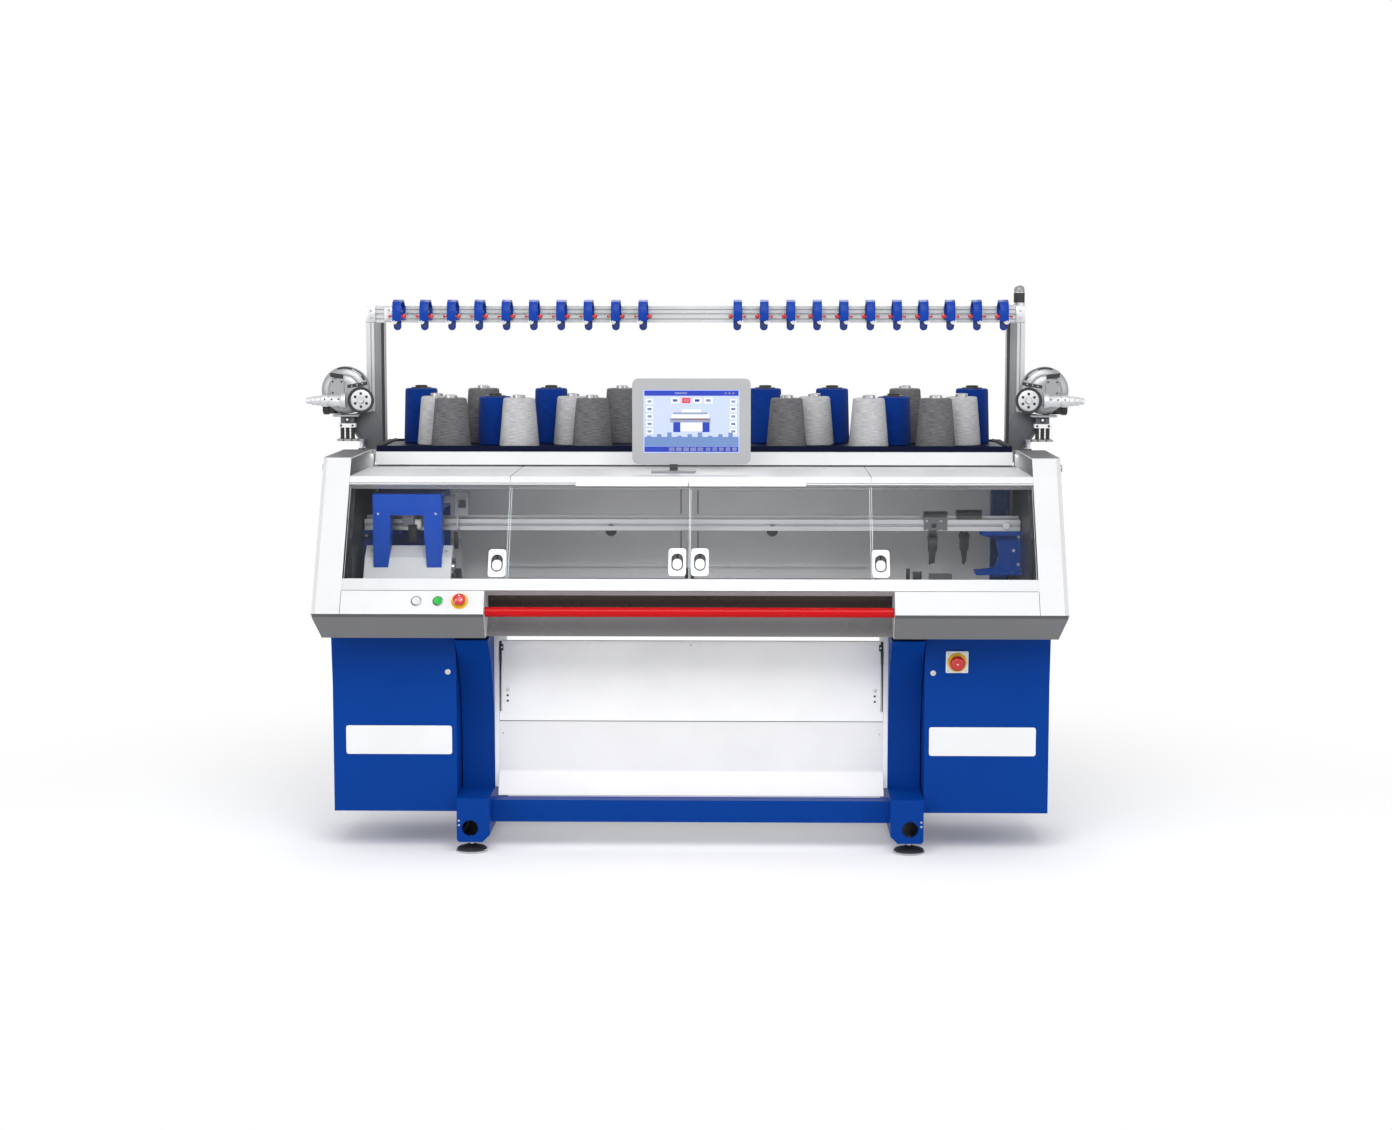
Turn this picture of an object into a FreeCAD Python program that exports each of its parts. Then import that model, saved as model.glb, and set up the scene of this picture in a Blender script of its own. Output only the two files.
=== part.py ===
import FreeCAD, Part
import os
import re
import Sketcher

# Flat knitting machine, in millimetres.
# X runs to the operator's right from the middle of the machine, Y runs from the
# operator towards the back, Z runs up from the floor.
# The sizes along Y are counted from the front face of the two feet, and every
# sub-part is placed depth_centre further forward, so that the origin lies on the
# floor under the middle of the machine.

doc = FreeCAD.newDocument("flat_knitting_machine")
dims = doc.addObject("Spreadsheet::Sheet", "dims")

SIZES = {
    # whole machine
    "depth_centre": 503.3,
    "fit_gap": 0.3,
    "running_gap": 0.05,
    "sheet_wall": 3,
    # feet and legs
    "foot_inner": 716,
    "foot_width": 118,
    "foot_bottom": 44,
    "foot_height": 159,
    "foot_length": 900,
    "foot_wall": 8,
    "foot_chamfer_inner": 26,
    "foot_chamfer_outer": 8,
    "foot_hole_radius": 29,
    "foot_hole_inset": 70,
    "foot_hole_rise": 51,
    "pad_radius": 58,
    "pad_height": 11,
    "pad_inset": 59,
    "stem_radius": 10,
    "stem_reach": 48,
    "nut_radius": 19,
    "nut_height": 10,
    "leg_front_y": 215,
    "leg_depth": 215,
    "leg_sweep": 132,
    "leg_straight": 156,
    "leg_curve": 494,
    "leg_height": 572,
    "leg_pad_height": 18,
    "leg_pad_inset": 2,
    "leg_pad_front_y": 40,
    "leg_pad_length": 500,
    # crossbars
    "bar_front_y": 92,
    "bar_depth": 66,
    "bar_rise": 56,
    "bar_height": 80,
    "bar_wall": 4,
    "rear_bar_inset": 110,
    # electrical cabinets under the ends
    "cabinet_gap": 4,
    "cabinet_width": 444,
    "cabinet_height": 654,
    "cabinet_front_y": 67,
    "door_depth": 18,
    "door_lean_height": 189,
    "cabinet_door_lean": 22,
    "cabinet_door_gap": 4,
    # bed
    "gap_line": 375,
    "bed_angle": 45,
    "bed_depth": 127,
    "bed_ledge": 68,
    "bed_seat": 24,
    "bed_slot_half": 22,
    "bed_apex_half": 35,
    "bed_thick": 20,
    "bed_start": 14,
    "bed_gap_half": 4,
    "bed_tip_height": 12,
    "needle_half": 690,
    "guide_width": 20,
    "guide_inset": 15,
    "guide_height": 13,
    # front of the housing
    "fold_reach": 127,
    "fold_rise": 88,
    "face_lean": 31.2,
    "undercut": 45,
    "fascia_rise": 93.5,
    "fascia_depth": 197,
    "fascia_ledge": 80,
    "fascia_foot": 12,
    "fascia_inset": 2,
    "cover_overhang": 43,
    "cover_width": 102,
    "cover_stand": 68,
    "cover_taper": 32,
    "cover_edge": 16,
    "cover_wall": 4,
    "sill_rise": 45.5,
    "sill_depth": 40,
    "upper_track_height": 25.787,
    "track_outer": 10,
    "track_inner": 21,
    "track_width": 6,
    "track_sink": 8,
    "track_lip": 12,
    # sliding windows
    "glass_thick": 5.4,
    "window_split": 647,
    "window_overlap": 8,
    "window_centre_gap": 3,
    "handle_width": 60,
    "handle_height": 92,
    "handle_thick": 4,
    "handle_grip_width": 34,
    "handle_grip_height": 58,
    "handle_edge": 12,
    "handle_rise": 22,
    # operating bar, recess and buttons
    "rail_inset": 52,
    "rail_lift": 4,
    "rail_radius": 17.5,
    "rail_seat": 40,
    "tray_depth": 167,
    "tray_drop": 13,
    "tray_sweep": 70,
    "tray_round": 45,
    "button_rise": 52,
    "button_pitch": 76,
    "button_first": 238,
    "button_radius": 15,
    "button_bezel": 19,
    "stop_bezel": 30,
    "button_bezel_height": 6,
    "button_height": 12,
    "button_travel": 4,
    "stop_radius": 22,
    "stop_stem": 12,
    "stop_height": 26,
    # roof
    "housing_height": 548,
    "roof_thick": 4,
    "roof_lip_drop": 6,
    "roof_overhang": 100,
    "roof_joint": 646,
    "roof_seam": 2,
    "wall_depth": 285,
    "rear_bevel": 70,
    "rear_foot": 26,
    # yarn table
    "apron_height": 48,
    "apron_depth": 44,
    "table_rise": 59,
    "table_thick": 14,
    "table_setback": 24,
    "table_depth": 452,
    "table_inset": 20,
    "table_rim": 22,
    # end frames
    "end_plate": 18,
    "post_width": 68,
    "post_depth": 38,
    "post_inset": 84,
    "arm_width": 60,
    "arm_stop": 51,
    "bracket_length": 147,
    "bracket_depth": 100,
    "bracket_web": 50,
    "bracket_flange": 16,
    "bracket_neck_width": 78,
    "bracket_neck_drop": 90,
    "bracket_toe_length": 165,
    "bracket_toe_drop": 149,
    "bracket_base": 12,
    # yarn carrier rails
    "rails_rise": 341,
    "rails_inset": 5,
    "rail_front_offset": 40,
    "rail_depth": 20,
    "rail_height": 41,
    "rail_rear_offset": 18,
    "rail_rear_height": 50,
    "rail_groove": 5,
    "carrier_lift": 3,
    "carrier_height": 68,
    "carrier_a_inset": 210,
    "carrier_a_width": 85,
    "carrier_b_inset": 86,
    "carrier_b_width": 92,
    "carrier_wall": 16,
    "finger_width": 9,
    "finger_inset": 22,
    "finger_drop": 126,
    "finger_thick": 7,
    "finger_gap": 2,
    # uprights and beam
    "upright_width": 70,
    "upright_inset": 216,
    "upright_depth": 60,
    "upright_height": 484,
    "beam_overhang": 40,
    "beam_depth": 40,
    "beam_height": 64,
    "beam_groove": 8,
    # yarn brakes
    "brake_left_inset": 67,
    "brake_right_inset": 24,
    "brake_pitch_left": 104.4,
    "brake_pitch_right": 101.3,
    "brake_width": 28,
    "brake_reach": 130,
    "brake_foot_rise": 4,
    "brake_arch": 25,
    "brake_strip": 10,
    "brake_bend": 38,
    "brake_knob_radius": 10,
    "brake_knob_reach": 34,
    "brake_knob_rise": 24,
    # signal lamp
    "lamp_overhang": 8,
    "lamp_plate_length": 70,
    "lamp_plate_thick": 3,
    "lamp_radius": 22,
    "lamp_height": 80,
    # cones
    "cone_radius": 76,
    "cone_top_radius": 60,
    "cone_height": 186,
    "cone_tube_radius": 24,
    "cone_tube_rise": 12,
    "cone_row_pitch": 143,
    "cone_first_inset": 84,
    # carriage
    "carriage_inset": 183,
    "cam_half": 157,
    "cam_clearance": 1.2,
    "cam_reach": 150,
    "cam_rise": 80,
    "cam_crown": 110,
    "cam_crown_along": 113,
    "cam_overhang": 10,
    "cam_front_rise": 63,
    "hood_half": 123,
    "hood_forward": 203,
    "hood_backward": 85,
    "hood_arch_rise": 69,
    "hood_head": 76,
    "hood_side": 64,
    "hood_wall": 5,
    "hood_leg_depth": 70,
    "hood_leg": 44,
    "hood_leg_top": 62,
    "hood_knee_drop": 58,
    "sensor_gap": 40,
    "sensor_width": 47,
    "sensor_forward": 105,
    "sensor_depth": 48,
    "sensor_height": 87,
    "sensor_arm_drop": 15,
    "sensor_arm_height": 24,
    "cover_height": 206,
    "cover_fold_drop": 38,
    "cover_ridge_setback": 80,
    "cover_fold_setback": 25,
    "cover_toe_reach": 86,
    "rear_toe_inset": 25,
    "rear_toe_rise": 92,
    # take-down
    "panel_y": 219,
    "panel_side_gap": 2,
    "panel_gap": 0.5,
    "panel_return": 16,
    "panel_drop": 51,
    "panel_height": 297,
    "panel_slot": 10,
    "panel_slot_rise": 37,
    "chute_height": 183,
    "chute_slope_depth": 59,
    "chute_slope_height": 78,
    "plate_thick": 16,
    "plate_depth": 321,
    "plate_drop": 23,
    "roller_drop": 133,
    "roller_radius": 30,
    "press_radius": 20,
    "roller_nip": 0.5,
    "roller_end_gap": 1,
    "journal_radius": 10,
    # control screen
    "screen_half": 215,
    "screen_stand_off": 35,
    "screen_height": 310,
    "screen_y": 300,
    "screen_depth": 42,
    "screen_round": 22,
    "screen_bezel": 40,
    "screen_recess": 2,
    "stand_half": 80,
    "stand_depth": 110,
    "stand_x": -67,
    "stand_plate": 8,
    "stand_column": 30,
    "stand_gap": 2,
    "tilt_rise": 120,
    "tilt_reach": 30,
    "tilt_lug": 10,
    "tilt_head": 14,
    "tilt_radius": 9,
    # main switch
    "switch_inset": 113,
    "switch_drop": 100,
    "switch_plate": 80,
    "switch_plate_thick": 6,
    "switch_ring": 34,
    "switch_ring_height": 8,
    "switch_knob": 27,
    "switch_knob_height": 20,
    "switch_hole_gap": 3,
    # latches of the side covers
    "latch_y": 300,
    "latch_rise": 25,
    "latch_rim": 4,
    "latch_height": 19,
    # side yarn feeders
    "feeder_offset": 131,
    "feeder_rise": 228,
    "feeder_radius": 91,
    "feeder_forward": 170,
    "feeder_depth": 64,
    "feeder_plate_drop": 100,
    "feeder_plate_half": 44,
    "feeder_plate_thick": 8,
    "feeder_body_drop": 71,
    "feeder_body_radius": 24,
    "feeder_nozzle_length": 152,
    "feeder_wheel_offset": 67,
    "feeder_wheel_drop": 36,
    "feeder_wheel_radius": 50,
    "feeder_bracket_drop": 80,
    "feeder_bracket_rise": 88,
    "feeder_bracket_thick": 12,
    "feeder_base_drop": 93,
    "feeder_post_radius": 9,
    "feeder_base_radius": 36,
}

# Places that follow from the sizes. They are written out in full wherever they are used.
PLACES = {
    "foot_top": "foot_bottom + foot_height",
    "foot_hole_height": "foot_bottom + foot_hole_rise",
    "stem_top": "foot_bottom + stem_reach",
    "leg_back": "leg_front_y + leg_depth",
    "leg_bend": "foot_top + leg_straight",
    "leg_top": "foot_top + leg_height",
    "leg_top_back": "leg_back + leg_sweep",
    "base_level": "leg_top + leg_pad_height",
    "bar_bottom": "foot_bottom + bar_rise",
    "rear_bar_y": "foot_length - rear_bar_inset",
    "cabinet_inner": "foot_inner + foot_width + cabinet_gap",
    "cabinet_outer": "cabinet_inner + cabinet_width",
    "cabinet_bottom": "base_level - cabinet_height",
    "cabinet_door_fold": "base_level - door_lean_height",
    "cover_outer": "cabinet_outer + cover_overhang",
    "cover_inner": "cover_outer - cover_width",
    "bed_half_length": "cover_inner - end_plate",
    "bed_foot_y": "gap_line - bed_depth",
    "bed_foot_z": "base_level + bed_seat",
    "bed_front_y": "bed_foot_y - bed_ledge",
    "fold_y": "-fold_reach",
    "fold_z": "base_level + fold_rise",
    "fascia_back": "fold_y + fascia_depth",
    "fascia_seat": "fascia_back + fascia_ledge",
    "fascia_inner": "foot_inner + fascia_inset",
    "roof_level": "base_level + housing_height",
    "roof_top": "roof_level + roof_thick",
    "upper_rise": "(roof_level - fold_z) / cos(face_lean) - upper_track_height",
    "roof_lip": "upper_rise + roof_lip_drop",
    "wall_y": "gap_line + wall_depth",
    "cover_back": "wall_y + cover_wall",
    "cover_top": "roof_level + cover_stand",
    "roof_back": "wall_y + roof_overhang",
    "rail_y": "fold_y + rail_inset",
    "rail_z": "fold_z + rail_lift",
    "tray_back": "fold_y + tray_depth",
    "tray_middle": "fold_z - tray_drop",
    "tray_foot": "tray_back - tray_sweep",
    "apron_top": "roof_level + table_rise",
    "apron_bottom": "apron_top - apron_height",
    "table_front": "wall_y + table_setback",
    "table_back": "table_front + table_depth",
    "table_half": "cover_inner - table_inset",
    "upright_inner": "table_half",
    "upright_y": "table_back - upright_inset",
    "upright_top": "apron_top + upright_height",
    "beam_y": "upright_y + (upright_depth - beam_depth) / 2",
    "beam_half": "upright_inner + beam_overhang",
    "beam_top": "upright_top + beam_height",
    "brake_y": "upright_y - brake_reach",
    "brake_foot": "upright_top + brake_foot_rise",
    "brake_rise": "beam_top + brake_arch",
    "brake_knob_z": "upright_top + brake_knob_rise",
    "lamp_x": "beam_half + lamp_overhang",
    "rails_bottom": "base_level + rails_rise",
    "rails_half": "bed_half_length - rails_inset",
    "rail_front_y": "gap_line - rail_front_offset",
    "rail_rear_y": "gap_line + rail_rear_offset",
    "bracket_inner": "bed_half_length - bracket_length",
    "bracket_neck": "bed_half_length - bracket_neck_width",
    "bracket_neck_z": "rails_bottom - bracket_neck_drop",
    "bracket_toe": "bed_half_length - bracket_toe_length",
    "bracket_toe_z": "rails_bottom - bracket_toe_drop",
    "carrier_bottom": "rails_bottom + carrier_lift",
    "carrier_top": "carrier_bottom + carrier_height",
    "carrier_a_x": "bracket_inner - carrier_a_inset",
    "carrier_b_x": "bracket_inner - carrier_b_inset",
    "finger_bottom": "rails_bottom - finger_drop",
    "carriage_x": "carriage_inset - bed_half_length",
    "cam_front": "bed_front_y - cam_overhang",
    "cam_front_z": "bed_foot_z + cam_front_rise",
    "hood_y": "gap_line - hood_forward",
    "hood_back": "gap_line + hood_backward",
    "hood_arch": "rails_bottom + hood_arch_rise",
    "hood_top": "hood_arch + hood_head",
    "hood_skirt": "hood_top - hood_side",
    "hood_knee": "hood_arch - hood_knee_drop",
    "sensor_start": "hood_half + sensor_gap",
    "sensor_end": "sensor_start + sensor_width",
    "sensor_y": "gap_line - sensor_forward",
    "sensor_bottom": "hood_top - sensor_height",
    "sensor_arm_z": "hood_top - sensor_arm_drop - sensor_arm_height",
    "cover_ridge_y": "cam_front + cover_ridge_setback",
    "cover_ridge_z": "cam_front_z + cover_height",
    "cover_fold_y": "cam_front + cover_fold_setback",
    "cover_fold_z": "cover_ridge_z - cover_fold_drop",
    "cover_toe_y": "cam_front - cover_toe_reach",
    "rear_toe_y": "2 * gap_line - cam_front + rear_toe_inset",
    "rear_toe_z": "cam_front_z + rear_toe_rise",
    "panel_top": "base_level - panel_drop",
    "panel_split": "panel_top - panel_height",
    "panel_half": "plate_inner - panel_side_gap",
    "panel_slot_bottom": "panel_split + panel_slot_rise",
    "chute_bend": "panel_split - chute_height",
    "chute_toe_y": "panel_y - chute_slope_depth",
    "chute_toe_z": "chute_bend - chute_slope_height",
    "plate_inner": "foot_inner - plate_thick",
    "plate_back": "panel_y + plate_depth",
    "plate_top": "base_level - plate_drop",
    "roller_z": "base_level - roller_drop",
    "roller_y": "gap_line + roller_radius + roller_nip",
    "press_y": "gap_line - press_radius - roller_nip",
    "screen_bottom": "roof_top + screen_stand_off",
    "screen_top": "screen_bottom + screen_height",
    "tilt_y": "screen_y + screen_depth + tilt_reach",
    "tilt_z": "screen_bottom + tilt_rise",
    "switch_x": "cabinet_inner + switch_inset",
    "switch_z": "base_level - switch_drop",
    "latch_z": "roof_level + latch_rise",
    "feeder_x": "upright_inner + feeder_offset",
    "feeder_y": "upright_y - feeder_forward",
    "feeder_back": "feeder_y + feeder_depth",
    "feeder_z": "apron_top + feeder_rise",
    "feeder_plate_z": "feeder_z - feeder_plate_drop",
    "feeder_body_z": "feeder_z - feeder_body_drop",
    "feeder_tip_x": "feeder_x + feeder_nozzle_length",
    "feeder_wheel_x": "upright_inner + feeder_wheel_offset",
    "feeder_wheel_z": "feeder_z - feeder_wheel_drop",
    "feeder_bracket_z": "feeder_z - feeder_bracket_drop",
    "feeder_base_z": "feeder_plate_z - feeder_base_drop",
}

for row, (name, size) in enumerate(SIZES.items(), start=1):
    dims.set(f"A{row}", name)
    dims.set(f"B{row}", str(size))
    dims.setAlias(f"B{row}", name)
doc.recompute()


# ---------------------------------------------------------------- helpers

def expression(text):
    """Turn the names of sizes into references to the sheet, and write places out."""
    def refer(match):
        word = match.group(0)
        if word in PLACES:
            return f"({expression(PLACES[word])})"
        return "dims." + word if word in SIZES else word
    return re.sub(r"[A-Za-z_][A-Za-z_0-9]*", refer, str(text))


def value(text):
    """The number that a size expression stands for."""
    return float(dims.evalExpression(expression(text)))


def bind(item, prop, text):
    item.setExpression(prop, expression(text))


def place(item, x="0", y="0", z="0", axis=None, angle="0"):
    """Put a sub-part at a point given in machine sizes, turned about one axis."""
    turn = FreeCAD.Rotation()
    if axis is not None:
        turn = FreeCAD.Rotation(FreeCAD.Vector(*axis), 1)
    item.Placement = FreeCAD.Placement(FreeCAD.Vector(0, 0, 0), turn)
    bind(item, "Placement.Base.x", x)
    bind(item, "Placement.Base.y", f"({y}) - depth_centre")
    bind(item, "Placement.Base.z", z)
    if axis is not None:
        bind(item, "Placement.Rotation.Angle", angle)
    return item


def new_body(label, x="0", y="0", z="0", axis=None, angle="0"):
    body = doc.addObject("PartDesign::Body", label)
    body.Label = label
    return place(body, x, y, z, axis, angle)


def new_sketch(body, plane, offset="0"):
    """An empty sketch on one of the body's own origin planes."""
    sketch = body.newObject("Sketcher::SketchObject", body.Label + "_sketch")
    role = [item for item in body.Origin.OriginFeatures if item.Role == plane][0]
    sketch.AttachmentSupport = [(role, "")]
    sketch.MapMode = "FlatFace"
    bind(sketch, "AttachmentOffset.Base.z", offset)
    return sketch


def add_outline(sketch, corners):
    """A closed outline through corners whose two coordinates are size expressions."""
    points = [FreeCAD.Vector(value(a), value(b), 0) for a, b in corners]
    first = sketch.GeometryCount
    count = len(points)
    for index in range(count):
        sketch.addGeometry(Part.LineSegment(points[index], points[(index + 1) % count]), False)
    for index in range(count):
        following = first + (index + 1) % count
        sketch.addConstraint(Sketcher.Constraint("Coincident", first + index, 2, following, 1))
    for index, (a, b) in enumerate(corners):
        for kind, text, number in (("DistanceX", a, points[index].x),
                                   ("DistanceY", b, points[index].y)):
            mark = sketch.addConstraint(
                Sketcher.Constraint(kind, -1, 1, first + index, 1, number))
            bind(sketch, f"Constraints[{mark}]", text)
    return sketch


def add_circle(sketch, a, b, radius):
    centre = FreeCAD.Vector(value(a), value(b), 0)
    ring = sketch.addGeometry(Part.Circle(centre, FreeCAD.Vector(0, 0, 1), value(radius)), False)
    for kind, text, number in (("DistanceX", a, centre.x), ("DistanceY", b, centre.y)):
        mark = sketch.addConstraint(Sketcher.Constraint(kind, -1, 1, ring, 3, number))
        bind(sketch, f"Constraints[{mark}]", text)
    mark = sketch.addConstraint(Sketcher.Constraint("Radius", ring, value(radius)))
    bind(sketch, f"Constraints[{mark}]", radius)
    return sketch


def add_slot(sketch, a, b, half_width, half_height):
    """An upright slot with half-round ends, about the point (a, b)."""
    x, y = value(a), value(b)
    half = value(half_width)
    straight = value(half_height) - half
    first = sketch.GeometryCount
    up = FreeCAD.Vector(0, 0, 1)
    top = Part.Circle(FreeCAD.Vector(x, y + straight, 0), up, half)
    low = Part.Circle(FreeCAD.Vector(x, y - straight, 0), up, half)
    sketch.addGeometry(Part.ArcOfCircle(top, 0, 3.141592653589793), False)
    sketch.addGeometry(Part.LineSegment(FreeCAD.Vector(x - half, y + straight, 0),
                                        FreeCAD.Vector(x - half, y - straight, 0)), False)
    sketch.addGeometry(Part.ArcOfCircle(low, 3.141592653589793, 6.283185307179586), False)
    sketch.addGeometry(Part.LineSegment(FreeCAD.Vector(x + half, y - straight, 0),
                                        FreeCAD.Vector(x + half, y + straight, 0)), False)
    for one, end, two, start in ((0, 2, 1, 1), (1, 2, 2, 1), (2, 2, 3, 1), (3, 2, 0, 1)):
        sketch.addConstraint(Sketcher.Constraint("Tangent", first + one, end,
                                                 first + two, start))
    straight_text = f"({half_height}) - ({half_width})"
    for kind, item, text, number in (
            ("DistanceX", 0, a, x), ("DistanceY", 0, f"({b}) + ({straight_text})", y + straight),
            ("DistanceX", 2, a, x), ("DistanceY", 2, f"({b}) - ({straight_text})", y - straight)):
        mark = sketch.addConstraint(Sketcher.Constraint(kind, -1, 1, first + item, 3, number))
        bind(sketch, f"Constraints[{mark}]", text)
    mark = sketch.addConstraint(Sketcher.Constraint("Radius", first, half))
    bind(sketch, f"Constraints[{mark}]", half_width)
    return sketch


def add_feature(body, kind, sketch, length, reverse=False, both_ways=False):
    feature = body.newObject("PartDesign::" + kind, body.Label + "_" + kind.lower())
    feature.Profile = sketch
    bind(feature, "Length", length)
    feature.Reversed = reverse
    feature.Midplane = both_ways
    body.Tip = feature
    return feature


def pad(body, plane, corners, length, offset="0", reverse=False, both_ways=False):
    sketch = add_outline(new_sketch(body, plane, offset), corners)
    return add_feature(body, "Pad", sketch, length, reverse, both_ways)


def pocket(body, plane, corners, length, offset="0", reverse=False, both_ways=False):
    sketch = add_outline(new_sketch(body, plane, offset), corners)
    return add_feature(body, "Pocket", sketch, length, reverse, both_ways)


def drill(body, plane, a, b, radius, length, offset="0", reverse=False, both_ways=False):
    sketch = add_circle(new_sketch(body, plane, offset), a, b, radius)
    return add_feature(body, "Pocket", sketch, length, reverse, both_ways)


def boss(body, plane, a, b, radius, length, offset="0", reverse=False, both_ways=False):
    sketch = add_circle(new_sketch(body, plane, offset), a, b, radius)
    return add_feature(body, "Pad", sketch, length, reverse, both_ways)


def turned(label, profile, x="0", y="0", z="0", axis=None, angle="0"):
    """A turned piece: the outline (radius, height) spun about the upright axis."""
    body = new_body(label, x, y, z, axis, angle)
    sketch = add_outline(new_sketch(body, "XZ_Plane"), profile)
    spin = body.newObject("PartDesign::Revolution", label + "_turn")
    spin.Profile = sketch
    spin.ReferenceAxis = (sketch, ["V_Axis"])
    spin.Angle = 360
    body.Tip = spin
    return body


def round_edges(body, radius, chosen, kind="Fillet"):
    """Round (or bevel) the edges of the body's last feature that pass a test."""
    doc.recompute()
    base = body.Tip
    names = [f"Edge{number}" for number, edge in enumerate(base.Shape.Edges, start=1)
             if chosen(edge)]
    feature = body.newObject("PartDesign::" + kind, body.Label + "_" + kind.lower())
    feature.Base = (base, names)
    bind(feature, "Radius" if kind == "Fillet" else "Size", radius)
    body.Tip = feature
    return feature


def runs_along(edge, axis):
    """True for a straight edge that lies along one of the body's axes."""
    if not isinstance(edge.Curve, Part.Line):
        return False
    return abs(abs(edge.Curve.Direction.dot(FreeCAD.Vector(*axis))) - 1) < 1e-6


def near(number, text):
    return abs(number - value(text)) < 0.01


def group(label, members):
    """One sub-part made of several like pieces, each a separate solid."""
    compound = doc.addObject("Part::Compound", label)
    compound.Label = label
    compound.Links = members
    return compound


def copy_of(master, name, x="0", y="0", z="0"):
    """A linked copy of a master piece, at its own place."""
    link = doc.addObject("App::Link", name)
    link.LinkedObject = master
    link.LinkTransform = False
    return place(link, x, y, z)


def face_point(rise, depth):
    """A point of the leaning front: rise up the face from its fold, depth inwards."""
    y = f"fold_y + ({rise}) * sin(face_lean) + ({depth}) * cos(face_lean)"
    z = f"fold_z + ({rise}) * cos(face_lean) - ({depth}) * sin(face_lean)"
    return y, z


def slope_point(along, above):
    """A point of the front bed: along its slope from its foot, above its seat."""
    y = f"bed_foot_y + ({along}) * cos(bed_angle) - ({above}) * sin(bed_angle)"
    z = f"bed_foot_z + ({along}) * sin(bed_angle) + ({above}) * cos(bed_angle)"
    return y, z


def behind(corners):
    """The same outline on the far side of the fabric gap."""
    return [(f"2 * gap_line - ({y})", z) for y, z in corners]


def sided(side, corners):
    """An outline seen from the front, on the left (-1) or right (+1) half."""
    return [(f"{side} * ({x})", z) for x, z in corners]


def span(sign, inner, outer):
    """The X range of a piece on the left (-1) or right (+1) half."""
    return (inner, outer) if sign > 0 else (f"-({outer})", f"-({inner})")


def block(label, x, y, z):
    """A plain rectangular piece between two points on each axis."""
    box = doc.addObject("Part::Box", label)
    box.Label = label
    for prop, (start, end) in (("Length", x), ("Width", y), ("Height", z)):
        bind(box, prop, f"({end}) - ({start})")
    return place(box, x[0], y[0], z[0])


def bar(label, corners, x, master=False):
    """A body with one outline seen from its end, drawn out between two points on X."""
    body = new_body(label, y="depth_centre" if master else "0")
    pad(body, "YZ_Plane", corners, f"({x[1]}) - ({x[0]})", offset=x[0])
    return body


def hollow(body, wall, is_open):
    """Turn a solid into a sheet shell that is open at the chosen faces."""
    doc.recompute()
    base = body.Tip
    names = [f"Face{number}" for number, face in enumerate(base.Shape.Faces, start=1)
             if is_open(face)]
    feature = body.newObject("PartDesign::Thickness", body.Label + "_shell")
    feature.Base = (base, names)
    bind(feature, "Value", wall)
    feature.Reversed = True
    feature.Mode = 0
    feature.Join = 1
    body.Tip = feature
    return feature


def bore_x(body, y, z, radius, x, reach):
    """A round hole along X through the wall at x."""
    drill(body, "YZ_Plane", y, z, radius, f"2 * ({reach})", offset=x, both_ways=True)


def cut(label, base, tool):
    result = doc.addObject("Part::Cut", label)
    result.Label = label
    result.Base = base
    result.Tool = tool
    return result


def face_height(y, depth):
    """Height of the leaning front, taken inwards by depth, at a given y."""
    rise = f"(({y}) - fold_y - ({depth}) * cos(face_lean)) / sin(face_lean)"
    return f"fold_z + ({rise}) * cos(face_lean) - ({depth}) * sin(face_lean)"


def face_reach(z, depth):
    """Y of the leaning front, taken inwards by depth, at a given height."""
    rise = f"(({z}) - fold_z + ({depth}) * sin(face_lean)) / cos(face_lean)"
    return f"fold_y + ({rise}) * sin(face_lean) + ({depth}) * cos(face_lean)"


SIDES = (("left", -1), ("right", 1))
parts = []

# ---------------------------------------------------------------- feet, legs, crossbars

feet = []
legs = []
leg_pads = []
for side, sign in SIDES:
    foot = new_body(f"foot_{side}")
    pad(foot, "XZ_Plane", sided(sign, [
        ("foot_inner", "foot_top"),
        ("foot_inner + foot_width", "foot_top"),
        ("foot_inner + foot_width", "foot_bottom + foot_chamfer_outer"),
        ("foot_inner + foot_width - foot_chamfer_outer", "foot_bottom"),
        ("foot_inner + foot_chamfer_inner", "foot_bottom"),
        ("foot_inner", "foot_bottom + foot_chamfer_inner"),
    ]), "foot_length", reverse=True)
    hollow(foot, "foot_wall", lambda face: near(face.CenterOfMass.y, "foot_length"))
    drill(foot, "XZ_Plane", f"{sign} * (foot_inner + foot_hole_inset)", "foot_hole_height",
          "foot_hole_radius", "4 * foot_wall", both_ways=True)
    for reach in ("pad_inset", "foot_length - pad_inset"):
        drill(foot, "XY_Plane", f"{sign} * (foot_inner + foot_hole_inset)", reach,
              "stem_radius + running_gap", "4 * foot_wall", offset="foot_bottom",
              both_ways=True)
    feet.append(foot)

    x = span(sign, "foot_inner", "foot_inner + foot_width")
    leg = bar(f"leg_{side}", [
        ("leg_front_y", "foot_top"),
        ("leg_back", "foot_top"),
        ("leg_top_back", "leg_top"),
        ("leg_front_y - leg_curve * 0.6", "leg_top"),
        ("leg_front_y", "leg_bend"),
    ], x)
    drill(leg, "YZ_Plane", "leg_front_y - leg_curve", "leg_bend", "leg_curve",
          "4 * foot_width", offset=x[0], both_ways=True)
    hollow(leg, "foot_wall", lambda face: near(face.CenterOfMass.z, "foot_top"))
    legs.append(leg)

    leg_pads.append(block(f"leg_pad_{side}",
                          span(sign, "foot_inner + leg_pad_inset",
                               "foot_inner + foot_width - leg_pad_inset"),
                          ("leg_pad_front_y", "leg_pad_front_y + leg_pad_length"),
                          ("leg_top", "base_level")))

parts.append(group("feet", feet))
parts.append(group("legs", legs))
parts.append(group("leg_pads", leg_pads))

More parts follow.
